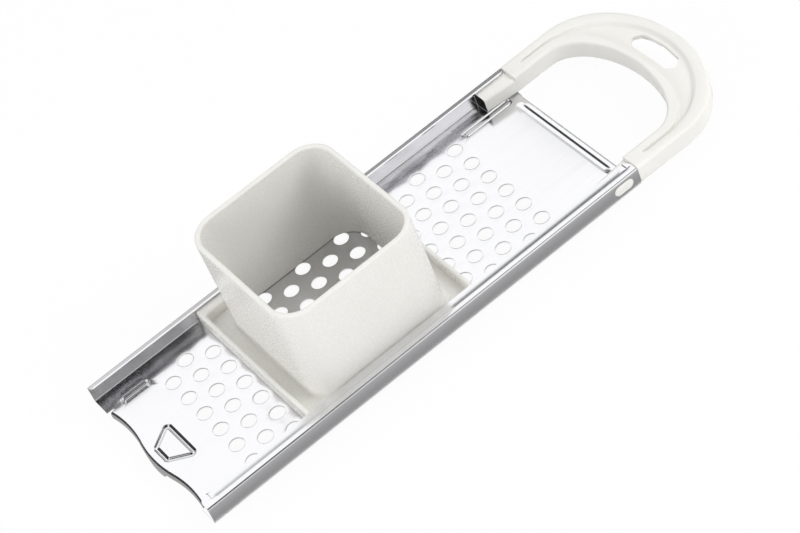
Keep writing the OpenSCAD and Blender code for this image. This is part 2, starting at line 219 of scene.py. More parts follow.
def empty_material(name: str) -> tuple[bpy.types.Material, bpy.types.NodeTree]:
    """A new material with an empty node tree."""
    material = bpy.data.materials.new(name)
    material.use_nodes = True
    material.node_tree.nodes.clear()
    return material, material.node_tree


@dataclass(frozen=True)
class BrightRolledSteel:
    """Bright-annealed 18/10 stainless sheet, cold rolled along the plate.

    The rolls leave a soft mirror with faint lines along the sheet, so reflections have
    blurred edges that run straight along x. Punching and folding leave the sheet some
    thousandths of a millimetre uneven, which lets reflections waver a little.
    """

    colour: str = "#e8e8ea"
    shade: str = "#e4e4e6"
    roughness_low: float = 0.16
    roughness_high: float = 0.20
    anisotropy: float = 0.30
    line_mm: float = 0.55
    line_length_mm: float = 26.0
    wave_mm: float = 70.0
    uneven_mm: float = 0.006
    scored_mm: float = 0.001

    def build(self) -> bpy.types.Material:
        """Builds the material.

        Returns:
            Rolled steel whose lines run along x on every face of the plate.
        """
        material, tree = empty_material("bright_rolled_stainless_steel")
        place = add_node(tree, "ShaderNodeTexCoord").outputs["Object"]
        # Object coordinates are metres: 1000 / mm repeats a pattern once every mm
        stretched = add_node(
            tree,
            "ShaderNodeMapping",
            inputs={
                "Vector": place,
                "Scale": (1000 / self.line_length_mm, 1000 / self.line_mm, 1000 / self.line_mm),
            },
        )
        lines = add_node(
            tree,
            "ShaderNodeTexNoise",
            inputs={"Vector": stretched.outputs[0], "Scale": 1.0, "Detail": 3.0, "Roughness": 0.6},
        )
        waves = add_node(
            tree,
            "ShaderNodeTexNoise",
            inputs={"Vector": place, "Scale": 1000 / self.wave_mm, "Detail": 1.0},
        )
        roughness = add_node(
            tree,
            "ShaderNodeMapRange",
            inputs={
                "Value": lines.outputs["Fac"],
                "From Min": 0.3,
                "From Max": 0.7,
                "To Min": self.roughness_low,
                "To Max": self.roughness_high,
            },
        )
        # Inputs 0, 6 and 7 are the factor and the two colours of a colour mix
        tint = add_node(
            tree,
            "ShaderNodeMix",
            settings={"data_type": "RGBA"},
            inputs={0: lines.outputs["Fac"], 6: linear(self.colour), 7: linear(self.shade)},
        )
        uneven = add_node(
            tree,
            "ShaderNodeBump",
            inputs={
                "Height": waves.outputs["Fac"],
                "Strength": 1.0,
                "Distance": self.uneven_mm / 1000,
            },
        )
        scored = add_node(
            tree,
            "ShaderNodeBump",
            inputs={
                "Height": lines.outputs["Fac"],
                "Normal": uneven.outputs[0],
                "Strength": 1.0,
                "Distance": self.scored_mm / 1000,
            },
        )
        steel = add_node(
            tree,
            "ShaderNodeBsdfPrincipled",
            inputs={
                "Base Color": tint.outputs[2],
                "Metallic": 1.0,
                "Roughness": roughness.outputs[0],
                "Anisotropic": self.anisotropy,
                "Normal": scored.outputs[0],
            },
        )
        add_node(tree, "ShaderNodeOutputMaterial", inputs={"Surface": steel.outputs[0]})
        return material


@dataclass(frozen=True)
class MouldedPlastic:
    """Injection-moulded white plastic with a fine, slightly glossy mould finish.

    The mould's spark-eroded grain of about 0.3 mm breaks its highlights up a little,
    and the melt's flow leaves the white faintly uneven over some centimetres.
    """

    name: str
    colour: str
    shade: str
    roughness: float = 0.34
    grain_mm: float = 0.7
    flow_mm: float = 26.0

    def build(self) -> bpy.types.Material:
        """Builds the material.

        Returns:
            White plastic with flow marks in its colour and grain in its surface.
        """
        material, tree = empty_material(self.name)
        place = add_node(tree, "ShaderNodeTexCoord").outputs["Object"]
        flow = add_node(
            tree,
            "ShaderNodeTexNoise",
            inputs={"Vector": place, "Scale": 1000 / self.flow_mm, "Detail": 2.0},
        )
        # The real grain is finer than a pixel, so it is drawn about twice as coarse
        grain = add_node(
            tree,
            "ShaderNodeTexNoise",
            inputs={"Vector": place, "Scale": 1000 / self.grain_mm, "Detail": 2.0},
        )
        tint = add_node(
            tree,
            "ShaderNodeMix",
            settings={"data_type": "RGBA"},
            inputs={0: flow.outputs["Fac"], 6: linear(self.colour), 7: linear(self.shade)},
        )
        roughness = add_node(
            tree,
            "ShaderNodeMapRange",
            inputs={
                "Value": grain.outputs["Fac"],
                "From Min": 0.25,
                "From Max": 0.75,
                "To Min": self.roughness - 0.05,
                "To Max": self.roughness + 0.06,
            },
        )
        bump = add_node(
            tree,
            "ShaderNodeBump",
            inputs={"Height": grain.outputs["Fac"], "Strength": 0.3, "Distance": 0.000002},
        )
        plastic = add_node(
            tree,
            "ShaderNodeBsdfPrincipled",
            inputs={
                "Base Color": tint.outputs[2],
                "Roughness": roughness.outputs[0],
                "IOR": 1.50,
                "Subsurface Weight": 0.05,
                "Subsurface Radius": (1.0, 0.95, 0.85),
                "Subsurface Scale": 0.0015,
                "Normal": bump.outputs[0],
            },
        )
        add_node(tree, "ShaderNodeOutputMaterial", inputs={"Surface": plastic.outputs[0]})
        return material


@dataclass(frozen=True)
class SweepPaper:
    """Matt white photographic paper under the maker, which shows its soft shadow."""

    colour: str = "#f2f2f2"
    seen_white: float = 0.95
    mirrored_white: float = 0.05

    def build(self) -> bpy.types.Material:
        """Builds the material.

        Returns:
            Paper that the camera sees close to white, darker where the maker shades it.
        """
        material, tree = empty_material("white_sweep_paper")
        place = add_node(tree, "ShaderNodeTexCoord").outputs["Object"]
        # Fibres of the paper, about 1 mm long
        fibres = add_node(
            tree, "ShaderNodeTexNoise", inputs={"Vector": place, "Scale": 900.0, "Detail": 2.0}
        )
        bump = add_node(
            tree,
            "ShaderNodeBump",
            inputs={"Height": fibres.outputs["Fac"], "Strength": 0.2, "Distance": 0.00005},
        )
        paper = add_node(
            tree,
            "ShaderNodeBsdfDiffuse",
            inputs={"Color": linear(self.colour), "Normal": bump.outputs[0]},
        )
        white = add_node(
            tree, "ShaderNodeEmission", inputs={"Color": (1, 1, 1, 1), "Strength": 1.0}
        )
        path = add_node(tree, "ShaderNodeLightPath")
        seen = add_node(
            tree,
            "ShaderNodeMath",
            settings={"operation": "MULTIPLY"},
            inputs={0: path.outputs["Is Camera Ray"], 1: self.seen_white},
        )
        share = add_node(
            tree,
            "ShaderNodeMath",
            settings={"operation": "MULTIPLY_ADD"},
            inputs={0: path.outputs["Is Glossy Ray"], 1: self.mirrored_white, 2: seen.outputs[0]},
        )
        mixed = add_node(
            tree,
            "ShaderNodeMixShader",
            inputs={0: share.outputs[0], 1: paper.outputs[0], 2: white.outputs[0]},
        )
        add_node(tree, "ShaderNodeOutputMaterial", inputs={"Surface": mixed.outputs[0]})
        return material


@dataclass(frozen=True)
class GradedCard:
    """Grey card of the studio, airbrushed from one tone to another along one axis.

    Only shiny surfaces see it: metal mirrors it as a soft darker band. It passes from
    the first of its tones to the second between two places on its axis. From its corner
    it reaches along its first side and its second, all in metres.
    """

    name: str
    tones: tuple[float, float]
    places: tuple[float, float]
    corner: Triple
    first: Triple
    second: Triple
    axis: str = "X"

    def build(self) -> bpy.types.Material:
        """Builds the material.

        Returns:
            A tone that passes evenly from the first at one place to the second at the next.
        """
        material, tree = empty_material(self.name)
        place = add_node(tree, "ShaderNodeTexCoord").outputs["Object"]
        along = add_node(tree, "ShaderNodeSeparateXYZ", inputs={0: place}).outputs[self.axis]
        tone = add_node(
            tree,
            "ShaderNodeMapRange",
            settings={"interpolation_type": "SMOOTHSTEP"},
            inputs={
                "Value": along,
                "From Min": self.places[0],
                "From Max": self.places[1],
                "To Min": self.tones[0],
                "To Max": self.tones[1],
            },
        )
        card = add_node(
            tree, "ShaderNodeEmission", inputs={"Color": (1, 1, 1, 1), "Strength": tone.outputs[0]}
        )
        add_node(tree, "ShaderNodeOutputMaterial", inputs={"Surface": card.outputs[0]})
        return material


# The punched plate -------------------------------------------------------------------


@dataclass
class PunchedPlate:
    """The steel plate: a punched blank, folded into two rails and a front edge.

    A point of the blank is (x, s), where s is the length along the sheet across the
    plate from its middle. Folding carries it to its place on the sheet's inner face,
    and the sheet's thickness is laid on outwards.
    """

    length: float = 260.0
    width: float = 108.0
    sheet: float = 0.6
    fold_r: float = 1.2
    rail_h: float = 10.3
    far_lip: float = 4.0
    far_lip_spring: float = 7.0
    far_lip_level: float = 1.0
    far_wall_lean: float = 2.0
    near_lip: float = 8.3
    far_corner_r: float = 2.7
    near_corner_r: float = 4.2
    crease_in: float = 4.0
    crease_depth: float = 0.4
    crease_front: float = 5.0
    crease_rear: float = 3.0
    crease_w: float = 0.7
    crease_run: float = 0.8
    hole_d: float = 8.0
    hole_pitch: float = 14.0
    hole_cols: int = 16
    hole_rows: int = 6
    hole_start: float = 33.0
    hole_roll: float = 0.09
    hole_roll_w: float = 0.4
    flange_w: float = 84.0
    relief_w: float = 1.2
    scallop_in: float = 4.0
    scallop_y: float = 28.0
    bump_out: float = 3.0
    flange_h: float = 4.0
    flange_r: float = 1.6
    tongue_h: float = 8.5
    tongue_w: float = 18.0
    tongue_tip: float = 10.0
    tongue_r: float = 2.2
    rear_flange_h: float = 3.4
    rear_flange_w: float = 80.0
    bead_depth: float = 0.85
    bead_blend: float = 0.25
    bead_slope: float = 1.65
    ring_front: float = 3.4
    ring_length: float = 14.6
    ring_front_w: float = 14.4
    ring_rear_w: float = 26.4
    ring_groove: float = 2.8
    ring_corner: float = 1.4
    slot_w: float = 4.8
    slot_groove: float = 1.4
    slot_y: float = 42.0
    slot_front: float = 8.6
    slot_front_l: float = 17.0
    slot_rear: float = 5.7
    slot_rear_l: float = 31.4
    rear_bead_w: float = 4.1
    rear_bead_in: float = 3.0
    rear_bead_l: float = 75.0
    rear_bead_fade: float = 7.0
    rear_bead_over: float = 0.6
    boss_x: float = 250.5
    boss_z: float = 5.1
    oval_l: float = 11.6
    oval_h: float = 5.9
    fold_steps: int = 8
    lattice: float = 0.28
    finish: BrightRolledSteel = field(default_factory=BrightRolledSteel)

    @property
    def half(self) -> float:
        """Half the plate's width."""
        return self.width / 2

    @property
    def bed_half(self) -> float:
        """Half the width of the flat bed between the folds."""
        return self.half - self.fold_r

    @property
    def fold_length(self) -> float:
        """Length of one fold in the blank, along the middle of the sheet."""
        return (self.fold_r - self.sheet / 2) * math.pi / 2

    @property
    def wall_length(self) -> float:
        """Length of a side wall's flat part in the blank."""
        return self.rail_h - 2 * self.fold_r + self.sheet

    @property
    def crease_at(self) -> float:
        """Length along the sheet at which the crease runs in the near lip."""
        return self.lip_start + self.crease_in - self.fold_r

    @property
    def far_end(self) -> float:
        """Length along the sheet at which the far lip ends."""
        return self.lip_start + self.far_lip - self.fold_r

    @property
    def near_end(self) -> float:
        """Length along the sheet at which the near lip ends."""
        return self.lip_start + self.near_lip - self.fold_r

    @property
    def oval_s(self) -> float:
        """Length along the sheet of the middle of the side walls' oval holes."""
        return self.bed_half + self.fold_length + self.boss_z - (self.fold_r - self.sheet)

    @property
    def lip_start(self) -> float:
        """Length along the sheet at which the flat lips start."""
        return self.bed_half + 2 * self.fold_length + self.rail_h - 2 * self.fold_r + self.sheet

    def fold_table(self) -> tuple[Array, Array, Array, Array, Array]:
        """The section of one side, from the middle of the bed to far along the lip.

        Each fold is a quarter circle about a centre one fold radius inside the wall.

        Returns:
            At each station: length s, place y and z on the inner face, and the
            outward direction's y and z.
        """
        inner = self.fold_r - self.sheet
        cos, sin = arc(self.fold_steps + 1, 0, 90)
        along = np.linspace(0, self.fold_length, self.fold_steps + 1)
        top = self.bed_half + self.fold_length + self.wall_length
        rim = self.rail_h - self.fold_r
        beyond = 20.0
        s = np.concatenate([[0], self.bed_half + along, top + along, [self.lip_start + beyond]])
        y = np.concatenate(
            [
                [0],
                self.bed_half + inner * sin,
                self.bed_half + inner * cos,
                [self.bed_half - beyond],
            ]
        )
        z = np.concatenate(
            [[0], inner * (1 - cos), rim + inner * sin, [self.rail_h - self.sheet]]
        )
        out_y = np.concatenate([[0], sin, cos, [0]])
        out_z = np.concatenate([[-1], -cos, sin, [1]])
        return s, y, z, out_y, out_z

    def hole_centres(self) -> Array:
        """Centres (x, y) of the close-packed holes, each second row half a pitch over."""
        i, k = np.meshgrid(np.arange(self.hole_cols), np.arange(self.hole_rows), indexing="ij")
        shift = np.where(i % 2 == 0, -1, 1) * self.hole_pitch / 4
        x = self.hole_start + i * self.hole_pitch * math.sin(math.radians(60))
        y = (k - (self.hole_rows - 1) / 2) * self.hole_pitch + shift
        return np.stack([x.ravel(), y.ravel()], axis=1)

    @staticmethod
    def from_segment(x: Array, y: Array, centre: tuple[float, float], half: float) -> Array:
        """Distance from a segment along x of the given half length."""
        return np.hypot(np.maximum(np.abs(x - centre[0]) - half, 0), y - centre[1])

    def ring_distance(self, x: Array, y: Array) -> Array:
        """Distance from the middle line of the tapered ring's groove.

        The middle line is a trapezoid with round corners: the signed distance from
        the trapezoid drawn in by the corner radius, less that radius.
        """
        corner, inset = self.ring_corner, self.ring_groove / 2 + self.ring_corner
        front, rear = self.ring_front + inset, self.ring_front + self.ring_length - inset
        half_front, half_rear = self.ring_front_w / 2 - inset, self.ring_rear_w / 2 - inset
        slope = (half_rear - half_front) / (rear - front)
        ay = np.abs(y)
        px, py = rear - front, half_rear - half_front
        t = np.clip(((x - front) * px + (ay - half_front) * py) / (px * px + py * py), 0, 1)
        side = np.hypot(x - front - t * px, ay - half_front - t * py)
        ends = np.minimum(
            np.hypot(x - front, np.maximum(ay - half_front, 0)),
            np.hypot(x - rear, np.maximum(ay - half_rear, 0)),
        )
        inside = (x > front) & (x < rear) & (ay < half_front + slope * (x - front))
        distance = np.where(inside, -1, 1) * np.minimum(side, ends)
        return np.abs(distance - corner)

    def bead_distances(self, x: Array, y: Array) -> list[tuple[Array, float]]:
        """Distance from the middle of each pressed groove, with its half width."""
        slot_mid = (self.slot_w - self.slot_groove) / 2
        ay = np.abs(y)
        front_x = self.slot_front + self.slot_front_l / 2
        rear_x = self.length - self.slot_rear - self.slot_rear_l / 2
        bar_x = self.length - self.rear_bead_in - self.rear_bead_w / 2
        front_half = (self.slot_front_l - self.slot_w) / 2
        rear_half = (self.slot_rear_l - self.slot_w) / 2
        bar_half = (self.rear_bead_l - self.rear_bead_w) / 2
        front = self.from_segment(x, ay, (front_x, self.slot_y), front_half)
        rear = self.from_segment(x, ay, (rear_x, self.slot_y), rear_half)
        bar = self.from_segment(y, x, (0, bar_x), bar_half)
        return [
            (self.ring_distance(x, y), self.ring_groove / 2),
            (np.abs(front - slot_mid), self.slot_groove / 2),
            (np.abs(rear - slot_mid), self.slot_groove / 2),
            (bar, self.rear_bead_w / 2),
        ]

    def pressed(self, x: Array, s: Array) -> Array:
        """How far the press moves the sheet up (+) or down (-) at points of the blank.

        A groove rises to the bed with a smooth step that ends just beyond its edge. The
        ring and the slots have round bottoms, the wider rear bead has a level one and
        runs out at its ends. The near lip's inner strip lies one step lower.
        """
        depth = np.zeros_like(x)
        on_bed = np.abs(s) < self.bed_half
        bar_end = self.rear_bead_l / 2 + self.rear_bead_over
        fades = (1, 1, 1, smooth_step((bar_end - np.abs(s)) / self.rear_bead_fade))
        for (distance, half), fade in zip(self.bead_distances(x, s), fades):
            slope = min(half + self.bead_blend, self.bead_slope)
            share = smooth_step((half + self.bead_blend - distance) / slope)
            depth = np.maximum(depth, self.bead_depth * share * fade * on_bed)
        across = smooth_step((-s - self.crease_at + self.crease_w / 2) / self.crease_w)
        margin = self.crease_run / 2
        front = smooth_step((x - self.crease_front + margin) / self.crease_run)
        rear = smooth_step((self.length - self.crease_rear + margin - x) / self.crease_run)
        ends = front * rear
        return -depth - self.crease_depth * across * ends

    def folded(self, x: Array, s: Array, out: float) -> Array:
        """Carries points of the blank to their place on the folded plate.

        Args:
            x: places along the plate.
            s: lengths along the sheet, negative on the near side.
            out: distance outwards from the sheet's inner face.

        Returns:
            Points of shape (n, 3).
        """
        stations, y, z, out_y, out_z = self.fold_table()
        length = np.abs(s)
        side = np.where(s < 0, -1.0, 1.0)
        across = np.interp(length, stations, y) + out * np.interp(length, stations, out_y)
        up = np.interp(length, stations, z) + out * np.interp(length, stations, out_z)
        # The far side springs back by some degrees after folding: its wall leans out and
        # its narrow lip rises, but for a level strip along the lip's edge
        angles = (self.far_wall_lean, self.far_lip_spring)
        lean, spring = (math.tan(math.radians(angle)) for angle in angles)
        across = across + lean * np.clip(up, 0, None) * (s > self.bed_half)
        rising = self.far_lip - self.fold_r - self.far_lip_level
        up = up + self.pressed(x, s) + spring * np.clip(s - self.lip_start, 0, rising)
        if out == 0:
            up = up - self.edge_roll(x, s)
        return np.stack([x, side * across, up], axis=1)

    def edge_roll(self, x: Array, s: Array) -> Array:
        """Depth of the rounding that the punch leaves round each hole's upper edge.

        It falls off as the square of the distance from the edge.
        """
        centres = self.hole_centres()
        gap = np.full(x.shape, 9.0)
        for row in centres.reshape(self.hole_cols, self.hole_rows, 2):
            near = np.abs(x - row[0, 0]) < self.hole_d
            away = np.hypot(x[near, None] - row[None, :, 0], s[near, None] - row[None, :, 1])
            gap[near] = np.minimum(gap[near], away.min(axis=1) - self.hole_d / 2)
        return self.hole_roll * np.clip(1 - gap / self.hole_roll_w, 0, 1) ** 2

    # Front and rear edges

    @property
    def edge_r(self) -> float:
        """Radius of the front edge's arcs: (y^2 + h^2) / 4 h for a step h over y."""
        return (self.scallop_y**2 + self.bump_out**2) / (4 * self.bump_out)

    def edge_x(self, y: Array) -> Array:
        """Front edge of the bed: two scallops and a middle bump, arcs of one radius."""
        r = self.edge_r
        bump = self.scallop_in - self.bump_out + r - np.sqrt(r * r - np.minimum(np.abs(y), r) ** 2)
        scallop = self.scallop_in - r + np.sqrt(r * r - (np.abs(y) - self.scallop_y) ** 2)
        return np.where(np.abs(y) < self.scallop_y / 2, bump, scallop)

    def edge_point(self, y: Array, out: Array) -> tuple[Array, Array]:
        """Point that lies out in front of the front edge at y, along the edge's normal."""
        r = self.edge_r
        on_bump = np.abs(y) < self.scallop_y / 2
        centre_x = np.where(on_bump, self.scallop_in - self.bump_out + r, self.scallop_in - r)
        centre_y = np.where(on_bump, 0, np.sign(y) * self.scallop_y)
        x = self.edge_x(y)
        turn = np.where(on_bump, 1, -1) / r
        return x + out * (x - centre_x) * turn, y + out * (y - centre_y) * turn

    def skirt(self, y: Array) -> Array:
        """Height of the turned-down front edge: the tongue narrows to a rounded tip."""
        side = self.tongue_w / 2 - np.abs(y)
        slope = (self.tongue_w - self.tongue_tip) / 2
        r = min(self.tongue_r, slope)
        share = np.clip(side / slope, 0, 1)
        rounding = r * np.clip(1 - np.abs(side - slope) / r, 0, 1) ** 2 / 4
        return self.flange_h + (self.tongue_h - self.flange_h) * share - rounding * (side > 0)

    def flange_rows(self, height: Array, out: float) -> tuple[Array, Array]:
        """Section of a turned-down edge: a quarter bend, then straight down.

        Args:
            height: height of the edge at each place along it.
            out: 0 for the upper face, the sheet's thickness for the lower one.

        Returns:
            Distances forwards and heights, of shape (rows, places).
        """
        cos, sin = arc(self.fold_steps + 1, 90, 0)
        bend_d = (self.flange_r - out) * cos[:, None] + 0 * height
        bend_z = (self.flange_r - out) * sin[:, None] - self.flange_r + 0 * height
        down = np.linspace(0, 1, 7)[1:, None]
        skirt_d = np.full_like(down * height, self.flange_r - out)
        skirt_z = -self.flange_r - down * (height - self.flange_r)
        return np.concatenate([bend_d, skirt_d]), np.concatenate([bend_z, skirt_z])

    def front_places(self) -> Array:
        """Places across the plate at which the front edge is drawn."""
        half = self.flange_w / 2 - self.relief_w / 2
        tongue = self.tongue_w / 2 * arc(49, 180, 0)[0]
        return np.unique(np.round(np.concatenate([np.linspace(-half, half, 139), tongue]), 4))

    def rear_places(self) -> Array:
        """Places across the plate at which the rear edge is drawn."""
        return np.linspace(-self.rear_flange_w / 2, self.rear_flange_w / 2, 41)

    # The blank

    def outline(self) -> Array:
        """Outline of the blank, counter-clockwise, as points (x, s)."""
        stations = self.fold_table()[0][1:-1]
        far_end, near_end = self.far_end, self.near_end
        cos, sin = arc(13, 0, 90)
        far_r, near_r, end = self.far_corner_r, self.near_corner_r, self.length
        relief = self.relief_w / 2
        slot_x, slot_s = self.scallop_in - relief, self.flange_w / 2
        notch_cos, notch_sin = arc(9, 90, -90)
        front = self.front_places()
        rear = self.rear_places()
        rise = stations[stations < far_end - far_r]
        fall = stations[stations < near_end - near_r]

        def line(x: Array, s: Array) -> Array:
            """Pairs two lists of coordinates, either of which may be one number."""
            pair = np.broadcast_arrays(np.asarray(x, float), np.asarray(s, float))
            return np.stack(pair, axis=1)

        return np.concatenate(
            [
                line(np.linspace(near_r, end - near_r, 64), -near_end),
                line(end - near_r + near_r * sin, -near_end + near_r - near_r * cos),
                line(end, -fall[::-1]),
                line([end], [-self.rear_flange_w / 2]),
                line(end - self.flange_r, rear),
                line([end], [self.rear_flange_w / 2]),
                line(end, rise),
                line(end - far_r + far_r * cos, far_end - far_r + far_r * sin),
                line(np.linspace(end - far_r, far_r, 64), far_end),
                line(far_r - far_r * sin, far_end - far_r + far_r * cos),
                line(0, rise[::-1]),
                line([0], [slot_s + relief]),
                line(slot_x + relief * notch_cos, slot_s + relief * notch_sin),
                line(self.edge_x(front[::-1]), front[::-1]),
                line(slot_x + relief * notch_cos[::-1], -slot_s + relief * notch_sin),
                line([0], [-slot_s - relief]),
                line(0, -fall),
                line(near_r - near_r * cos, -near_end + near_r - near_r * sin),
            ]
        )

    def is_metal(self, x: Array, s: Array) -> Array:
        """Whether points of the blank's hull are metal and not cut away."""
        half = self.flange_w / 2
        relief = self.relief_w / 2
        length = np.abs(s)
        metal = ~((length < half - relief) & (x < self.edge_x(np.clip(s, -half, half))))
        slot = self.from_segment(x, length, (0, half), self.scallop_in - relief) < relief * 0.98
        metal &= ~((length < half + relief) & (length >= half - relief) & slot)
        metal &= ~((length < self.rear_flange_w / 2) & (x > self.length - self.flange_r))
        reach = (self.oval_l - self.oval_h) / 2
        oval = self.from_segment(x, length, (self.boss_x, self.oval_s), reach)
        metal &= oval > self.oval_h / 2 * 0.985
        nearest = np.full(x.shape, 99.0)
        for row in self.hole_centres().reshape(self.hole_cols, self.hole_rows, 2):
            away = np.hypot(x[:, None] - row[None, :, 0], s[:, None] - row[None, :, 1])
            nearest = np.minimum(nearest, away.min(axis=1))
        return metal & (nearest > self.hole_d / 2 * 0.99)

    def bead_points(self) -> Array:
        """Lattice of points (x, y) over every pressed groove and its slopes."""
        front, rear = (2.6, 26.4), (222.2, 258.2)
        x, y = np.meshgrid(
            np.concatenate([np.arange(*span, self.lattice) for span in (front, rear)]),
            np.arange(-45.4, 45.5, self.lattice),
            indexing="ij",
        )
        x, y = x.ravel(), y.ravel()
        keep = np.zeros(x.shape, bool)
        for distance, half in self.bead_distances(x, y):
            keep |= distance < half + 0.45
        half_w = self.flange_w / 2
        edge = self.edge_x(np.clip(y, -half_w, half_w))
        in_front = (np.abs(y) < half_w) & (x < edge + 0.25)
        return np.stack([x, y], axis=1)[keep & ~in_front]

    def blank(self) -> tuple[Array, Array]:
        """Fills the blank between its outline and its holes with triangles.

        Rings of points follow each hole, lines of points follow each fold and the
        crease, and a fine lattice covers the beads. A constrained triangulation joins
        them, and triangles over what is cut away are dropped.

        Returns:
            Points (x, s) and triangles.
        """
        loops: list[Array] = [self.outline()]
        cos, sin = arc(29, 0, 360)
        circle = np.stack([cos[:-1], sin[:-1]], axis=1)
        centres = self.hole_centres()
        loops += list(centres[:, None] + self.hole_d / 2 * circle)
        reach, r = (self.oval_l - self.oval_h) / 2, self.oval_h / 2
        cos, sin = arc(17, -90, 90)
        right = np.stack([self.boss_x + reach + r * cos, r * sin], axis=1)
        left = np.stack([self.boss_x - reach - r * cos, -r * sin], axis=1)
        oval = np.concatenate([right, left])
        loops += [oval + [0, self.oval_s], oval - [0, self.oval_s]]
        along = np.linspace(0, self.length, 66)
        steps = self.fold_steps + 1
        stations = self.fold_table()[0][1:-1]
        crease = self.crease_at
        folds = stations[[0, steps - 1, steps, -1]]
        borders = [*folds, *-folds, -crease + self.crease_w / 2, -crease - self.crease_w / 2]
        lines = [np.stack([along, np.full_like(along, s)], axis=1) for s in borders]
        short = np.linspace(self.far_corner_r, self.length - self.far_corner_r, 64)
        level = self.far_end - self.far_lip_level
        for s in (level - 0.1, level, level + 0.1):
            lines.append(np.stack([short, np.full_like(short, s)], axis=1))
        inner = [*stations, *-stations, -crease - 0.17, -crease, -crease + 0.17]
        free = [np.stack([along[1:-1], np.full(len(along) - 2, s)], axis=1) for s in inner]
        rings = [centres[:, None] + (self.hole_d / 2 + out) * circle for out in (0.14, 0.4)]
        free += [ring.reshape(-1, 2) for ring in rings]
        free.append(self.bead_points())
        ends = (self.crease_front, self.length - self.crease_rear)
        ends_x = np.concatenate([at + np.linspace(-0.4, 0.4, 5) for at in ends])
        ends_s = -np.linspace(crease + 0.5, self.near_end - 0.4, 8)
        free.append(np.stack(np.meshgrid(ends_x, ends_s), axis=-1).reshape(-1, 2))

        edges: list[Array] = []
        start = 0
        for loop in loops:
            number = np.arange(len(loop))
            edges.append(start + np.stack([number, (number + 1) % len(loop)], axis=1))
            start += len(loop)
        for path in lines:
            number = np.arange(len(path) - 1)
            edges.append(start + np.stack([number, number + 1], axis=1))
            start += len(path)
        flat = np.concatenate(loops + lines + free)
        found = delaunay_2d_cdt(
            [Vector(p) for p in flat.tolist()], np.concatenate(edges).tolist(), [], 0, 1e-4, False
        )
        points = np.array([tuple(v) for v in found[0]])
        triangles = np.array(found[2])
        middle = points[triangles].mean(axis=1)
        return points, triangles[self.is_metal(middle[:, 0], middle[:, 1])]

    def sheet_faces(self) -> tuple[Array, Array, Faces]:
        """The sheet's two faces over one set of triangles and quads.

        Returns:
            Points of the inner face, the matching points of the outer face, and faces
            that are counter-clockwise as seen on the inner face.
        """
        flat, triangles = self.blank()
        inner = self.folded(flat[:, 0], flat[:, 1], 0.0)
        outer = self.folded(flat[:, 0], flat[:, 1], self.sheet)
        faces: Faces = triangles.tolist()
        y = self.front_places()
        rear = self.rear_places()
        for places, height, ahead in (
            (y, self.skirt(y), True),
            (rear, np.full_like(rear, self.rear_flange_h), False),
        ):
            both = []
            for out in (0.0, self.sheet):
                d, z = self.flange_rows(height, out)
                across = np.broadcast_to(places, d.shape)
                if ahead:
                    px, py = self.edge_point(across, d)
                else:
                    px, py = self.length - self.flange_r + d, across
                both.append(np.stack([px, py, z], axis=-1).reshape(-1, 3))
            quads = grid_faces(*d.shape, False, False) + len(inner)
            faces += (quads if ahead else quads[:, ::-1]).tolist()
            inner = np.concatenate([inner, both[0]])
            outer = np.concatenate([outer, both[1]])
        return inner, outer, faces

    def mesh(self) -> tuple[Array, Faces]:
        """Welds the sheet's faces and closes them with walls along every cut edge.

        A cut edge is one that only one face uses in its direction and none in the
        other, so each gets a quad from the inner face to the outer one.

        Returns:
            Points and faces of the closed plate.
        """
        inner, outer, faces = self.sheet_faces()
        _, first, number = np.unique(
            np.round(inner * 500).astype(np.int64), axis=0, return_index=True, return_inverse=True
        )
        number = number.ravel()
        inner, outer = inner[first], outer[first]
        faces = [[int(number[v]) for v in face] for face in faces]
        faces = [face for face in faces if len(set(face)) == len(face)]
        edges = np.array([(a, b) for face in faces for a, b in zip(face, face[1:] + face[:1])])
        count = len(inner)
        there = edges[:, 0] * count + edges[:, 1]
        back = edges[:, 1] * count + edges[:, 0]
        cut = edges[~np.isin(there, back)]
        walls = np.stack([cut[:, 0], cut[:, 0] + count, cut[:, 1] + count, cut[:, 1]], axis=1)
        whole = faces + [[v + count for v in face[::-1]] for face in faces] + walls.tolist()
        return np.concatenate([inner, outer]), whole

    def build(self) -> bpy.types.Object:
        """Builds the plate, dresses it in rolled steel and puts it in the frame."""
        piece = make_piece("punched_plate", *self.mesh(), sharp=40.0)
        piece.data.materials.append(self.finish.build())
        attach(piece, Body.BASE.value)
        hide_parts("grater_plate")
        return piece


# The hopper --------------------------------------------------------------------------


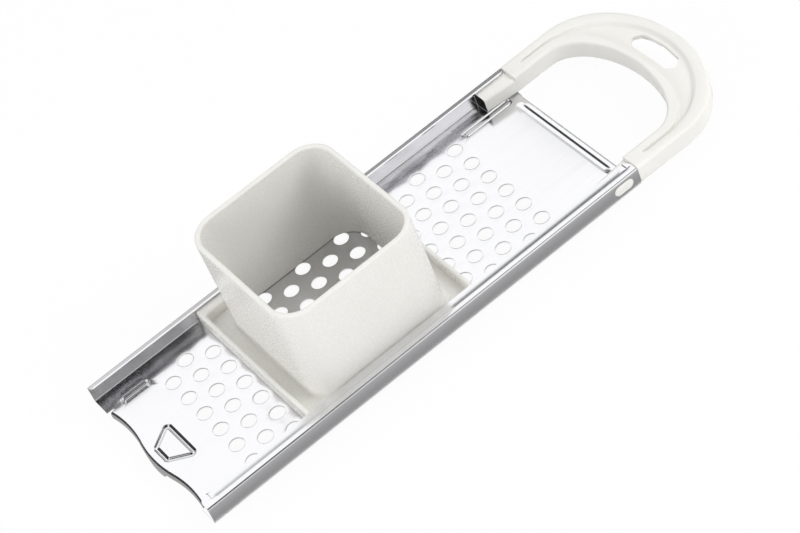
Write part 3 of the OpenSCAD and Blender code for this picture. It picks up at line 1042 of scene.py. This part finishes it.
@dataclass
class Hopper:
    """The open box and its tray with runners, moulded in one piece.

    Its skin is a stack of rounded rectangles: each has two half lengths, a corner
    radius and a height, and the stack runs up the inside of the box, over its rim,
    down to the tray, over the tray's rim and back under it to the box.
    """

    at: float = 113.8
    tray_l: float = 100.7
    tray_half: float = 52.9
    tray_top: float = 9.1
    floor_top: float = 3.0
    foot: float = 0.2
    rim_w: float = 2.5
    runner_w: float = 7.6
    tray_r: float = 3.2
    trough_r: float = 2.6
    box_l: float = 80.2
    box_w: float = 87.7
    box_h: float = 62.9
    box_r: float = 15.4
    wall_rim: float = 2.8
    wall_foot: float = 2.2
    rim_r: float = 1.1
    fillet_r: float = 2.2
    edge_r: float = 0.35
    finish: MouldedPlastic = field(
        default_factory=lambda: MouldedPlastic(
            "white_moulded_hopper_abs", "#edece8", "#e8e7e2", 0.26
        )
    )

    def stations(self) -> tuple[Array, Array, Array, Array]:
        """Stations round a rounded rectangle: corner weights and corner directions.

        Returns:
            Weights of the corner's centre in x and y, and cosine and sine of the
            direction from it.
        """
        corner = 15
        side = np.linspace(1, -1, 12)[1:-1]
        one, flat = np.ones(corner), np.ones(len(side))
        wx, wy, angle = [], [], []
        for turn, (sx, sy) in enumerate(((1, 1), (-1, 1), (-1, -1), (1, -1))):
            start = 90.0 * turn
            wx += [sx * one, side * sx if turn % 2 == 0 else sx * flat]
            wy += [sy * one, sy * flat if turn % 2 == 0 else side * sy]
            angle += [np.linspace(start, start + 90, corner), (start + 90) * flat]
        direction = np.radians(np.concatenate(angle))
        return np.concatenate(wx), np.concatenate(wy), np.cos(direction), np.sin(direction)

    def ring(self, half_x: Array, half_y: Array, r: Array) -> Array:
        """Points (x, y) of rounded rectangles, of shape (rectangles, stations, 2)."""
        wx, wy, cos, sin = self.stations()
        half_x, half_y, r = (np.asarray(v, float).reshape(-1, 1) for v in (half_x, half_y, r))
        return np.stack([(half_x - r) * wx + r * cos, (half_y - r) * wy + r * sin], axis=-1)

    def mesh(self) -> tuple[Array, Faces]:
        """Stacks the rounded rectangles and joins them into one closed skin.

        Between box and trough the rectangles pass from one outline to the other, and
        the fillet's height there is that of a quarter circle at the distance from the
        box: r - sqrt(r^2 - (r - d)^2).

        Returns:
            Points and faces of the hopper.
        """
        bx, by = self.box_l / 2, self.box_w / 2
        tx, ty = self.tray_l / 2 - self.rim_w, self.tray_half - self.runner_w
        cos, sin = arc(9, 180, 90)
        e_cos, e_sin = arc(5, 270, 180)

        def stack(out: Array, z: Array, half: tuple[float, float], r: float) -> Array:
            """Rounded rectangles that stand out from one by out, at heights z."""
            out, z = np.broadcast_arrays(np.asarray(out, float), np.asarray(z, float))
            plan = self.ring(half[0] + out, half[1] + out, r + out)
            height = np.broadcast_to(z[:, None, None], (*plan.shape[:2], 1))
            return np.concatenate([plan, height], axis=-1)

        box = ((bx, by), self.box_r)
        rise = np.linspace(0, 1, 9)[1:-1]
        low = self.foot + self.edge_r
        inside_z = low + rise * (self.box_h - self.rim_r - self.foot - self.edge_r)
        inner_foot = stack(
            -self.wall_foot + self.edge_r * (1 + e_cos),
            self.foot + self.edge_r * (1 + e_sin),
            *box,
        )
        taper = self.wall_rim - self.wall_foot
        inner = stack(-self.wall_foot - rise * taper, inside_z, *box)
        top = self.box_h - self.rim_r
        rim_in = stack(-self.wall_rim + self.rim_r * (1 + cos), top + self.rim_r * sin, *box)
        rim_out = stack(-self.rim_r - self.rim_r * cos[::-1], top + self.rim_r * sin[::-1], *box)
        drop = np.linspace(0, 1, 9)[1:]
        outside = stack(0.0, top - drop * (top - self.floor_top - self.fillet_r), *box)

        share = np.concatenate([np.linspace(0, 0.28, 12)[1:], np.linspace(0.28, 1, 12)[1:]])
        start = self.ring([bx], [by], [self.box_r])
        finish = self.ring([tx], [ty], [self.trough_r])
        floor = start + share[:, None, None] * (finish - start)
        gap = np.linalg.norm(floor - start, axis=-1)
        bow = np.sqrt(self.fillet_r**2 - np.clip(self.fillet_r - gap, 0, None) ** 2)
        floor_z = self.floor_top + self.fillet_r - bow
        floor = np.concatenate([floor, floor_z[..., None]], axis=-1)

        trough = ((tx, ty), self.trough_r)
        lip = self.tray_top - self.rim_r
        climb = np.linspace(0, 1, 5)[1:-1]
        brink = self.floor_top + 0.3
        wall = stack(0.0, brink + climb * (lip - self.floor_top - 0.3), *trough)
        q_cos, q_sin = arc(7, 180, 90)
        trough_rim = stack(self.rim_r * (1 + q_cos), lip + self.rim_r * q_sin, *trough)
        tray = ((self.tray_l / 2, self.tray_half), self.tray_r)
        tray_rim = stack(
            -self.rim_r - self.rim_r * q_cos[::-1], lip + self.rim_r * q_sin[::-1], *tray
        )
        f_cos, f_sin = arc(5, 0, -90)
        tray_foot = stack(
            -self.edge_r + self.edge_r * f_cos, self.foot + self.edge_r * (1 + f_sin), *tray
        )
        box_rows = [inner_foot, inner, rim_in, rim_out, outside]
        tray_rows = [floor, wall, trough_rim, tray_rim, tray_foot]
        rows = np.concatenate(box_rows + tray_rows)
        points = rows.reshape(-1, 3) + [self.at, 0, 0]
        faces = grid_faces(*rows.shape[:2], True, True).tolist()
        return points, outward(points, faces)

    def build(self) -> bpy.types.Object:
        """Builds the hopper, dresses it in white plastic and puts it on its body."""
        piece = make_piece("moulded_hopper", *self.mesh(), sharp=50.0)
        piece.data.materials.append(self.finish.build())
        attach(piece, Body.HOPPER.value)
        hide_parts("hopper")
        return piece


# The handle --------------------------------------------------------------------------


@dataclass
class LoopHandle:
    """The loop handle: a bow with two rims and a sunken web, two legs, snap bosses.

    One section is carried from shoulder to shoulder. Station t runs 0 to 1 along the
    far side, 1 to 2 round the bow and 2 to 3 along the near side.
    """

    height: float = 11.0
    side_outer: float = 32.0
    side_inner: float = 22.0
    bow_outer: float = 39.0
    bow_inner: float = 23.0
    outer_y: float = 54.4
    side_w: float = 12.1
    groove_at: float = 10.0
    groove_w: float = 1.8
    rim_outer: float = 4.8
    rim_inner: float = 3.2
    fullness: float = 2.4
    web_depth: float = 2.4
    web_under: float = 6.0
    crown: float = 0.35
    inner_crown: float = 0.3
    step_w: float = 0.5
    steps_above: tuple[float, float] = (2.8, 0.5)
    steps_below: tuple[float, float] = (1.4, 1.0)
    edge_r: float = 1.7
    shoulder_x: float = 260.2
    leg_start: float = 241.5
    leg_out: float = 53.3
    leg_w: float = 9.3
    leg_top: float = 9.2
    leg_chamfer: float = 0.9
    leg_core: float = 16.0
    leg_wall: float = 0.7
    boss_x: float = 250.5
    boss_z: float = 5.1
    boss_l: float = 11.5
    boss_h: float = 5.8
    boss_face: float = 54.0
    hang_w: float = 32.0
    hang_l: float = 10.1
    hang_in: float = 7.2
    hang_r: float = 2.2
    hang_flare: float = 0.25
    finish: MouldedPlastic = field(
        default_factory=lambda: MouldedPlastic(
            "white_moulded_handle_abs", "#f0efeb", "#ebeae5"
        )
    )
    # The deep narrow hollows of the legs' ends show nearly black, so they get a dark tone: painted
    # shade standing in for the shadow inside them.
    hollow_painted_shade: MouldedPlastic = field(
        default_factory=lambda: MouldedPlastic("painted_shade_leg_hollow", "#2c2b2d", "#242325", 0.6)
    )

    @staticmethod
    def run(t: Array) -> Array:
        """Share of the straight side that station t has covered."""
        return np.where(t < 1, t, np.where(t > 2, 3 - t, 1.0))

    def at_station(self, t: Array, side: float, bow: float, half: float, power: float) -> Array:
        """Point of an edge at station t: a straight side, then a superellipse.

        Args:
            t: stations.
            side: length of the straight side.
            bow: how far the curve reaches beyond it.
            half: half the width between the two sides.
            power: the superellipse's power: 2 is an ellipse, more is fuller.

        Returns:
            Points (x, y), measured from the shoulders.
        """
        turn = math.pi * np.clip(t - 1, 0, 1)
        sin = np.sin(turn)
        cos = np.cos(turn)
        x = self.run(t) * side + bow * np.abs(sin) ** (2 / power)
        y = half * np.sign(cos) * np.abs(cos) ** (2 / power)
        return np.stack([x, y], axis=-1)

    @property
    def web_side(self) -> float:
        """Length of the straight side along the outer rim's inner edge."""
        return self.side_outer * 0.75

    def plan(self, t: Array) -> tuple[Array, Array, Array, Array]:
        """Outer edge, outer rim's inner edge, inner rim's outer edge and inner edge."""
        middle = self.outer_y - self.side_w / 2
        reach = self.side_outer - self.web_side + self.bow_outer - self.rim_outer
        return (
            self.at_station(t, self.side_outer, self.bow_outer, self.outer_y, 2),
            self.at_station(t, self.web_side, reach, middle + self.groove_w / 2, 2),
            self.at_station(
                t,
                self.side_inner - 1,
                self.bow_inner + 1 + self.rim_inner,
                middle - self.groove_w / 2,
                self.fullness,
            ),
            self.at_station(t, self.side_inner, self.bow_inner, self.outer_y - self.side_w, 2),
        )

    def face(self, t: Array, depth: float, slopes: tuple[float, float]) -> Array:
        """Upper face of the section at every station, from the outer edge to the inner.

        Each rim has a quarter circle at its free edge and a crown along its top, whose
        height falls off as the square of the distance from its middle. A smooth step
        leads down to the web: it is steep along the sides and widens round the bow as
        sine to the power 1.5. The web sinks in behind the shoulder over 3 mm.

        Args:
            t: stations.
            depth: depth of the web below the rims.
            slopes: widths of the step at the apex, at the outer and at the inner rim.

        Returns:
            Points of shape (stations, points, 3).
        """
        outer, outer_in, inner_out, inner = self.plan(t)
        along = self.run(t) * self.web_side
        sink = smooth_step((along - self.groove_at + 1.5) / 3)[:, None]
        gap = np.linalg.norm(inner_out - outer_in, axis=-1, keepdims=True)
        turned = np.sin(math.pi * np.clip(t - 1, 0, 1))[:, None] ** 1.5

        def rim(free: Array, web: Array, crown: float, slope: float) -> Array:
            """One rim from its free edge over its top and down its step to the web."""
            across = web - free
            width = np.linalg.norm(across, axis=-1, keepdims=True)
            cos, sin = arc(8, 0, 90)
            top = np.linspace(0, 1, 7)[1:]
            down = np.linspace(0, 1, 8)[1:]
            edge_z = self.height - self.edge_r * (1 - sin) + 0 * width
            step = np.minimum(self.step_w + (slope - self.step_w) * turned, 0.45 * gap)
            away = np.concatenate(
                [
                    self.edge_r * (1 - cos) + 0 * width,
                    self.edge_r + top * (width - self.edge_r),
                    width + down * step,
                ],
                axis=1,
            )
            share = np.clip(away / width, 0, 1)
            lower = crown * (2 * share - 1) ** 2 * np.where(share > 0.5, sink, 1.0)
            level = np.full((len(width), len(top) + len(down)), self.height)
            z = np.concatenate([edge_z, level], axis=1) - lower
            z[:, -len(down) :] -= (depth - crown) * sink * smooth_step(down)
            place = free[:, None] + (across / width)[:, None] * away[..., None]
            return np.concatenate([place, z[..., None]], axis=-1)

        first = rim(outer, outer_in, self.crown, slopes[0])
        last = rim(inner, inner_out, self.inner_crown * self.crown, slopes[1])[:, ::-1]
        share = np.linspace(0, 1, 6)[None, 1:-1, None]
        web = first[:, -1:] + share * (last[:, :1] - first[:, -1:])
        return np.concatenate([first, web, last], axis=1)

    def bow(self) -> tuple[Array, Faces]:
        """The bow with its sides, as one section carried from shoulder to shoulder."""
        groove = self.groove_at / self.web_side
        near = groove + np.linspace(-0.09, 0.09, 13)
        side = np.concatenate([[0, 0.012, 0.03, 0.15], near, [0.6, 0.75, 0.9]])
        t = np.concatenate([side, np.linspace(1, 2, 145), (3 - side)[::-1]])
        upper = self.face(t, self.web_depth, self.steps_above)
        lower = self.face(t, self.web_under, self.steps_below)[:, ::-1].copy()
        lower[..., 2] = self.height - lower[..., 2]
        rows = np.concatenate([upper, lower], axis=1)
        rows[..., 0] += self.shoulder_x
        # The shoulders' end edges are rounded by 0.3 mm
        for end in (0, -1):
            middle = rows[end].mean(axis=0)
            rows[end, :, 1:] = middle[1:] + (rows[end, :, 1:] - middle[1:]) * [0.95, 0.945]
        return loft(rows)

    def hang_outline(self, grow: float) -> Array:
        """Outline of the hanging hole, every corner rounded, drawn out by grow."""
        shares = np.array(
            [
                [0, -0.42],
                [0.36, -0.54],
                [0.87, -0.42],
                [1.02, 0],
                [0.87, 0.42],
                [0.36, 0.54],
                [0, 0.42],
            ]
        )
        corners = shares * [self.hang_l, self.hang_w]
        before = np.roll(corners, 1, axis=0) - corners
        after = np.roll(corners, -1, axis=0) - corners
        before /= np.linalg.norm(before, axis=1, keepdims=True)
        after /= np.linalg.norm(after, axis=1, keepdims=True)
        r = self.hang_r
        half = np.arccos(np.sum(before * after, axis=1)) / 2
        inward = before + after
        inward /= np.linalg.norm(inward, axis=1, keepdims=True)
        centre = corners + inward * (r / np.sin(half))[:, None]
        first = before * (r / np.tan(half))[:, None] + corners - centre
        last = after * (r / np.tan(half))[:, None] + corners - centre
        a0 = np.arctan2(first[:, 1], first[:, 0])
        a1 = np.arctan2(last[:, 1], last[:, 0])
        turn = (a1 - a0 + np.pi) % (2 * np.pi) - np.pi
        angle = a0[:, None] + turn[:, None] * np.linspace(0, 1, 9)
        ring = centre[:, None] + (r + grow) * np.stack([np.cos(angle), np.sin(angle)], axis=-1)
        start = self.shoulder_x + self.side_inner + self.bow_inner + self.hang_in
        return ring.reshape(-1, 2) + [start, 0]

    def hang_cutter(self) -> tuple[Array, Faces]:
        """Body of the hanging hole: it flares with a quarter circle at the web's faces."""
        flare, low, high = self.hang_flare, self.web_under, self.height - self.web_depth
        cos, sin = arc(6, 0, 90)
        foot, top = low + flare * (1 - sin[::-1]), high - flare * (1 - sin)
        z = np.concatenate([[-2], foot, top, [self.height + 2]])
        grow = np.concatenate([[flare], flare * (1 - cos[::-1]), flare * (1 - cos), [flare]])
        outlines = [self.hang_outline(g) for g in grow]
        rings = [np.column_stack([ring, np.full(len(ring), h)]) for ring, h in zip(outlines, z)]
        return loft(np.stack(rings))

    def leg_inner(self, x: Array) -> Array:
        """Place across the plate of a leg's inner side, at x from the leg's front end."""
        share = np.clip(x / (self.shoulder_x - self.leg_start), 0.0, 1.0)
        front, rear = self.leg_out - self.leg_w, self.outer_y - self.side_w
        return front + (rear - front) * share

    def leg_profile(self, x: float, inset: float) -> Array:
        """Section (y, z) of a leg at x from its front end, drawn in by inset.

        The outer edges are chamfered, and the inner ones are quarter circles. The
        inner side lies in line with the bow's at the shoulder and further out in front.
        """
        inner = float(self.leg_inner(x)) + inset
        outer, low, high = self.leg_out - inset, inset, self.leg_top - inset
        chamfer, r = max(self.leg_chamfer - 0.59 * inset, 0.2), max(self.edge_r - inset, 0.3)
        cos, sin = arc(7, 90, 180)
        top = np.stack([inner + r + r * cos, high - r + r * sin], axis=1)
        foot = np.stack([inner + r + r * cos[::-1], low + r - r * sin[::-1]], axis=1)
        side = [
            [outer - chamfer, low],
            [outer, low + chamfer],
            [outer, high - chamfer],
            [outer - chamfer, high],
        ]
        return np.concatenate([side, top, foot])

    def leg_sections(self) -> tuple[list[tuple[float, float]], list[tuple[float, float]]]:
        """Sections of a leg, as their distances from its front end and their insets.

        Returns:
            Those of its outside, from within the bow to its front brink, and those of
            its hollow, from the brink to its floor.
        """
        wall = self.leg_wall
        outside = [(21.0, 0.06), (19.0, 0.06), (18.6, 0.0), (0.35, 0.0), (0.1, 0.1), (0.0, 0.35)]
        hollow = [(0.05, wall - 0.15), (0.25, wall), (self.leg_core, wall + 0.2)]
        return outside, hollow

    def leg(self, side: int) -> tuple[Array, Faces]:
        """One leg: a bar that reaches into the bow, cored out from its front end."""
        outside, hollow = self.leg_sections()
        rows = []
        for x, inset in outside + hollow:
            y, z = self.leg_profile(x, inset).T
            rows.append(np.column_stack([np.full(len(y), self.leg_start + x), side * y, z]))
        return loft(np.stack(rows))

    def leg_slots(self) -> list[int]:
        """Material slot of each face of a leg: 1, the painted shade, from its front brink into its
        hollow.
        """
        around = len(self.leg_profile(0.0, 0.0))
        outside, hollow = self.leg_sections()
        return [0] * ((len(outside) - 1) * around) + [1] * (len(hollow) * around) + [0, 1]

    def boss(self, side: int) -> tuple[Array, Faces]:
        """One snap boss: a bar with round ends, its face drawn in by a small rounding."""
        reach, r = (self.boss_l - self.boss_h) / 2, self.boss_h / 2
        cos, sin = arc(17, -90, 90)
        # Place of each section, measured from the boss's face, and its inset
        sections = ((-1.2, 0.0), (-0.4, 0.0), (-0.2, 0.05), (-0.05, 0.17), (0.0, 0.36))
        rows = []
        for depth, inset in sections:
            x = np.concatenate([reach + (r - inset) * cos, -reach - (r - inset) * cos])
            z = np.concatenate([(r - inset) * sin, -(r - inset) * sin])
            y = np.full(len(x), side * (self.boss_face + depth))
            rows.append(np.column_stack([self.boss_x + x, y, self.boss_z + z]))
        return loft(np.stack(rows))

    def build(self) -> bpy.types.Object:
        """Builds the handle, cuts its hanging hole and dresses it in white plastic."""
        bow = make_piece("loop_bow", *self.bow())
        cutter = make_piece("hang_cutter", *self.hang_cutter())
        cut = bow.modifiers.new("hanging hole", "BOOLEAN")
        cut.object, cut.solver, cut.operation = cutter, "EXACT", "DIFFERENCE"
        result = bow.evaluated_get(bpy.context.evaluated_depsgraph_get()).to_mesh()
        points = np.empty(len(result.vertices) * 3)
        result.vertices.foreach_get("co", points)
        points = PLACE.to_millimetres(points.reshape(-1, 3))
        faces = [list(face.vertices) for face in result.polygons]
        for tool in (bow, cutter):
            bpy.data.objects.remove(tool)
        parts = [(points, faces), self.leg(1), self.leg(-1), self.boss(1), self.boss(-1)]
        piece = make_piece("loop_handle", *joined(*parts), sharp=38.0)
        piece.data.materials.append(self.finish.build())
        # Second slot: dark plastic as painted shade inside the legs' hollows
        piece.data.materials.append(self.hollow_painted_shade.build())
        slots = np.zeros(len(piece.data.polygons), np.int32)
        slots[len(faces) : len(faces) + 2 * len(self.leg_slots())] = 2 * self.leg_slots()
        piece.data.polygons.foreach_set("material_index", slots)
        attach(piece, Body.BASE.value)
        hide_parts("handle")
        return piece


# The studio --------------------------------------------------------------------------


@dataclass(frozen=True)
class SoftBox:
    """Lamp of the studio: its middle and its width and height, in metres."""

    name: str
    place: Triple
    size: tuple[float, float]
    watts: float
    mirrored: bool


# Two cards hang on the camera's side, where the far rail's wall mirrors them: a dark one
# high up and a grey one below it. One hangs overhead for the beads' slopes. Three lie on
# the paper along the near rail, by the front edge and behind the maker, and two stand at
# its back and its left, where rounded edges mirror them. The one along the near rail is
# grey for darker surroundings, and it grows darker towards the maker as painted shadow:
# the maker's contact shadow on the paper, as the near wall mirrors it.
CARDS = (
    GradedCard(
        "overhead_card", (0.02, 0.04), (0.0, 1.0),
        corner=(-1.1, -0.70, 1.44), first=(3.2, 0, 0), second=(0, 0.74, 0.37),
    ),
    GradedCard(
        "high_front_card", (0.01, 1.25), (0.22, 0.44),
        corner=(-1.1, -1.08, 1.21), first=(2.1, 0, 0), second=(0, 0.38, 0.23),
    ),
    GradedCard(
        "front_card", (0.38, 1.25), (0.22, 0.44),
        corner=(-1.1, -1.65, 0.67), first=(2.1, 0, 0), second=(0, 0.55, 0.53),
    ),
    # Painted shadow: darker towards the maker, where its contact shadow on the paper lies; only
    # the near wall's mirror shows it
    GradedCard(
        "painted_shadow_near_card", (0.31, 0.56), (-0.058, -0.080),
        corner=(-0.8, -0.90, 0.001), first=(1.8, 0, 0), second=(0, 0.84, 0), axis="Y",
    ),
    GradedCard(
        "left_floor_card", (0.42, 0.60), (-0.17, -0.5),
        corner=(-1.2, -0.055, 0.001), first=(1.05, 0, 0), second=(0, 0.9, 0),
    ),
    GradedCard(
        "back_floor_card", (0.08, 0.25), (-0.4, 0.6),
        corner=(-0.16, 0.075, 0.001), first=(2.2, 0, 0), second=(0, 1.5, 0),
    ),
    GradedCard(
        "back_card", (0.64, 0.16), (0.05, 0.60),
        corner=(-0.8, 1.6, 0.02), first=(3.4, 0, 0), second=(0, 0, 1.10),
    ),
    GradedCard(
        "left_card", (0.02, 0.06), (-2.0, -0.7),
        corner=(-2.0, 0.2, 0.02), first=(1.3, 1.45, 0), second=(0, 0, 2.2),
    ),
)

# Shiny surfaces mirror only the lamp at the back
LAMPS = (
    SoftBox("back_softbox", (0.35, 0.85, 1.15), (1.9, 0.9), 1.3, mirrored=True),
    SoftBox("key_softbox", (0.95, -0.92, 1.06), (0.8, 0.8), 11.5, mirrored=False),
    SoftBox("left_softbox", (-1.25, -0.15, 0.55), (0.9, 0.6), 6.5, mirrored=False),
)


@dataclass
class Studio:
    """Paper sweep, soft lamps, cards that the metal mirrors, and the camera."""

    eye: Triple = (-0.32836, -0.89304, 0.98790)
    right: Triple = (0.76486, -0.57877, -0.28286)
    up: Triple = (0.60166, 0.48490, 0.63472)
    ahead: Triple = (0.23020, 0.65566, -0.71911)
    lens: float = 127.93
    world_light: float = 0.66
    sweep_half: float = 4000.0
    sweep_flat: float = 1800.0
    sweep_rise: float = 900.0
    paper_gap: float = 0.05
    paper: SweepPaper = field(default_factory=SweepPaper)

    def floor(self) -> bpy.types.Object:
        """Lays the paper: level under the maker, rising behind it in a smooth curve."""
        x = np.linspace(-self.sweep_half, self.sweep_half, 9)
        y = np.linspace(-self.sweep_half, self.sweep_half, 41)
        share = (y - self.sweep_flat) / (self.sweep_half - self.sweep_flat)
        z = self.sweep_rise * smooth_step(share) - PLACE.bed_height - self.paper_gap
        gx, gy = np.meshgrid(x, y, indexing="ij")
        points = np.stack([gx + PLACE.middle_x, gy, np.broadcast_to(z, gx.shape)], axis=-1)
        faces = grid_faces(len(x), len(y), False, False)[:, ::-1].tolist()
        floor = make_piece("paper_sweep", points.reshape(-1, 3), faces)
        floor.data.materials.append(self.paper.build())
        return floor

    @staticmethod
    def hang(card: GradedCard) -> None:
        """Hangs one card: corner + u first + v second, with u and v from 0 to 1."""
        u, v = np.meshgrid(np.linspace(0, 1, 9), np.linspace(0, 1, 5), indexing="ij")
        points = np.array(card.corner) + u[..., None] * np.array(card.first)
        points = points + v[..., None] * np.array(card.second)
        points = PLACE.to_millimetres(points.reshape(-1, 3))
        piece = make_piece(card.name, points, grid_faces(*u.shape, False, False).tolist())
        piece.data.materials.append(card.build())
        piece.visible_camera = False
        piece.visible_diffuse = False
        piece.visible_transmission = False
        piece.visible_shadow = False

    @staticmethod
    def light(lamp: SoftBox) -> None:
        """Hangs one soft box that faces the maker."""
        light = bpy.data.lights.new(lamp.name, "AREA")
        light.shape = "RECTANGLE"
        light.size, light.size_y = lamp.size
        light.energy = lamp.watts
        piece = bpy.data.objects.new(lamp.name, light)
        piece.visible_glossy = lamp.mirrored
        piece.location = lamp.place
        piece.rotation_euler = (-Vector(lamp.place)).to_track_quat("-Z", "Y").to_euler()
        bpy.context.scene.collection.objects.link(piece)

    def surroundings(self) -> None:
        """White surroundings: dimmer as a light than as what the camera and metal see."""
        world = bpy.data.worlds.new("white_studio")
        bpy.context.scene.world = world
        world.use_nodes = True
        tree = world.node_tree
        tree.nodes.clear()
        path = add_node(tree, "ShaderNodeLightPath")
        seen = add_node(
            tree,
            "ShaderNodeMath",
            settings={"operation": "MAXIMUM"},
            inputs={0: path.outputs["Is Camera Ray"], 1: path.outputs["Is Glossy Ray"]},
        )
        light, white = (
            add_node(
                tree,
                "ShaderNodeBackground",
                inputs={"Color": (1, 1, 1, 1), "Strength": strength},
            )
            for strength in (self.world_light, 1.0)
        )
        mixed = add_node(
            tree,
            "ShaderNodeMixShader",
            inputs={0: seen.outputs[0], 1: light.outputs[0], 2: white.outputs[0]},
        )
        add_node(tree, "ShaderNodeOutputWorld", inputs={"Surface": mixed.outputs[0]})

    def camera(self) -> None:
        """Sets up the camera at the photograph's place, without shift or blur."""
        data = bpy.data.cameras.new("camera")
        data.lens = self.lens
        data.sensor_width = 36.0
        data.sensor_fit = "HORIZONTAL"
        camera = bpy.data.objects.new("camera", data)
        turn = Matrix((self.right, self.up, -Vector(self.ahead))).transposed()
        camera.matrix_world = Matrix.Translation(self.eye) @ turn.to_4x4()
        bpy.context.scene.collection.objects.link(camera)
        bpy.context.scene.camera = camera

    def build(self) -> None:
        """Builds the whole studio."""
        self.camera()
        self.surroundings()
        self.floor()
        for card in CARDS:
            self.hang(card)
        for lamp in LAMPS:
            self.light(lamp)
        bpy.context.scene.view_settings.view_transform = "Standard"


def main() -> None:
    """Builds the maker's three pieces and the studio."""
    logging.basicConfig(level=logging.INFO, format="%(name)s: %(message)s")
    for part in (PunchedPlate(), Hopper(), LoopHandle()):
        piece = part.build()
        mesh = piece.data
        LOG.info("%s: %d vertices, %d faces", piece.name, len(mesh.vertices), len(mesh.polygons))
    Studio().build()


if __name__ == "__main__":
    main()
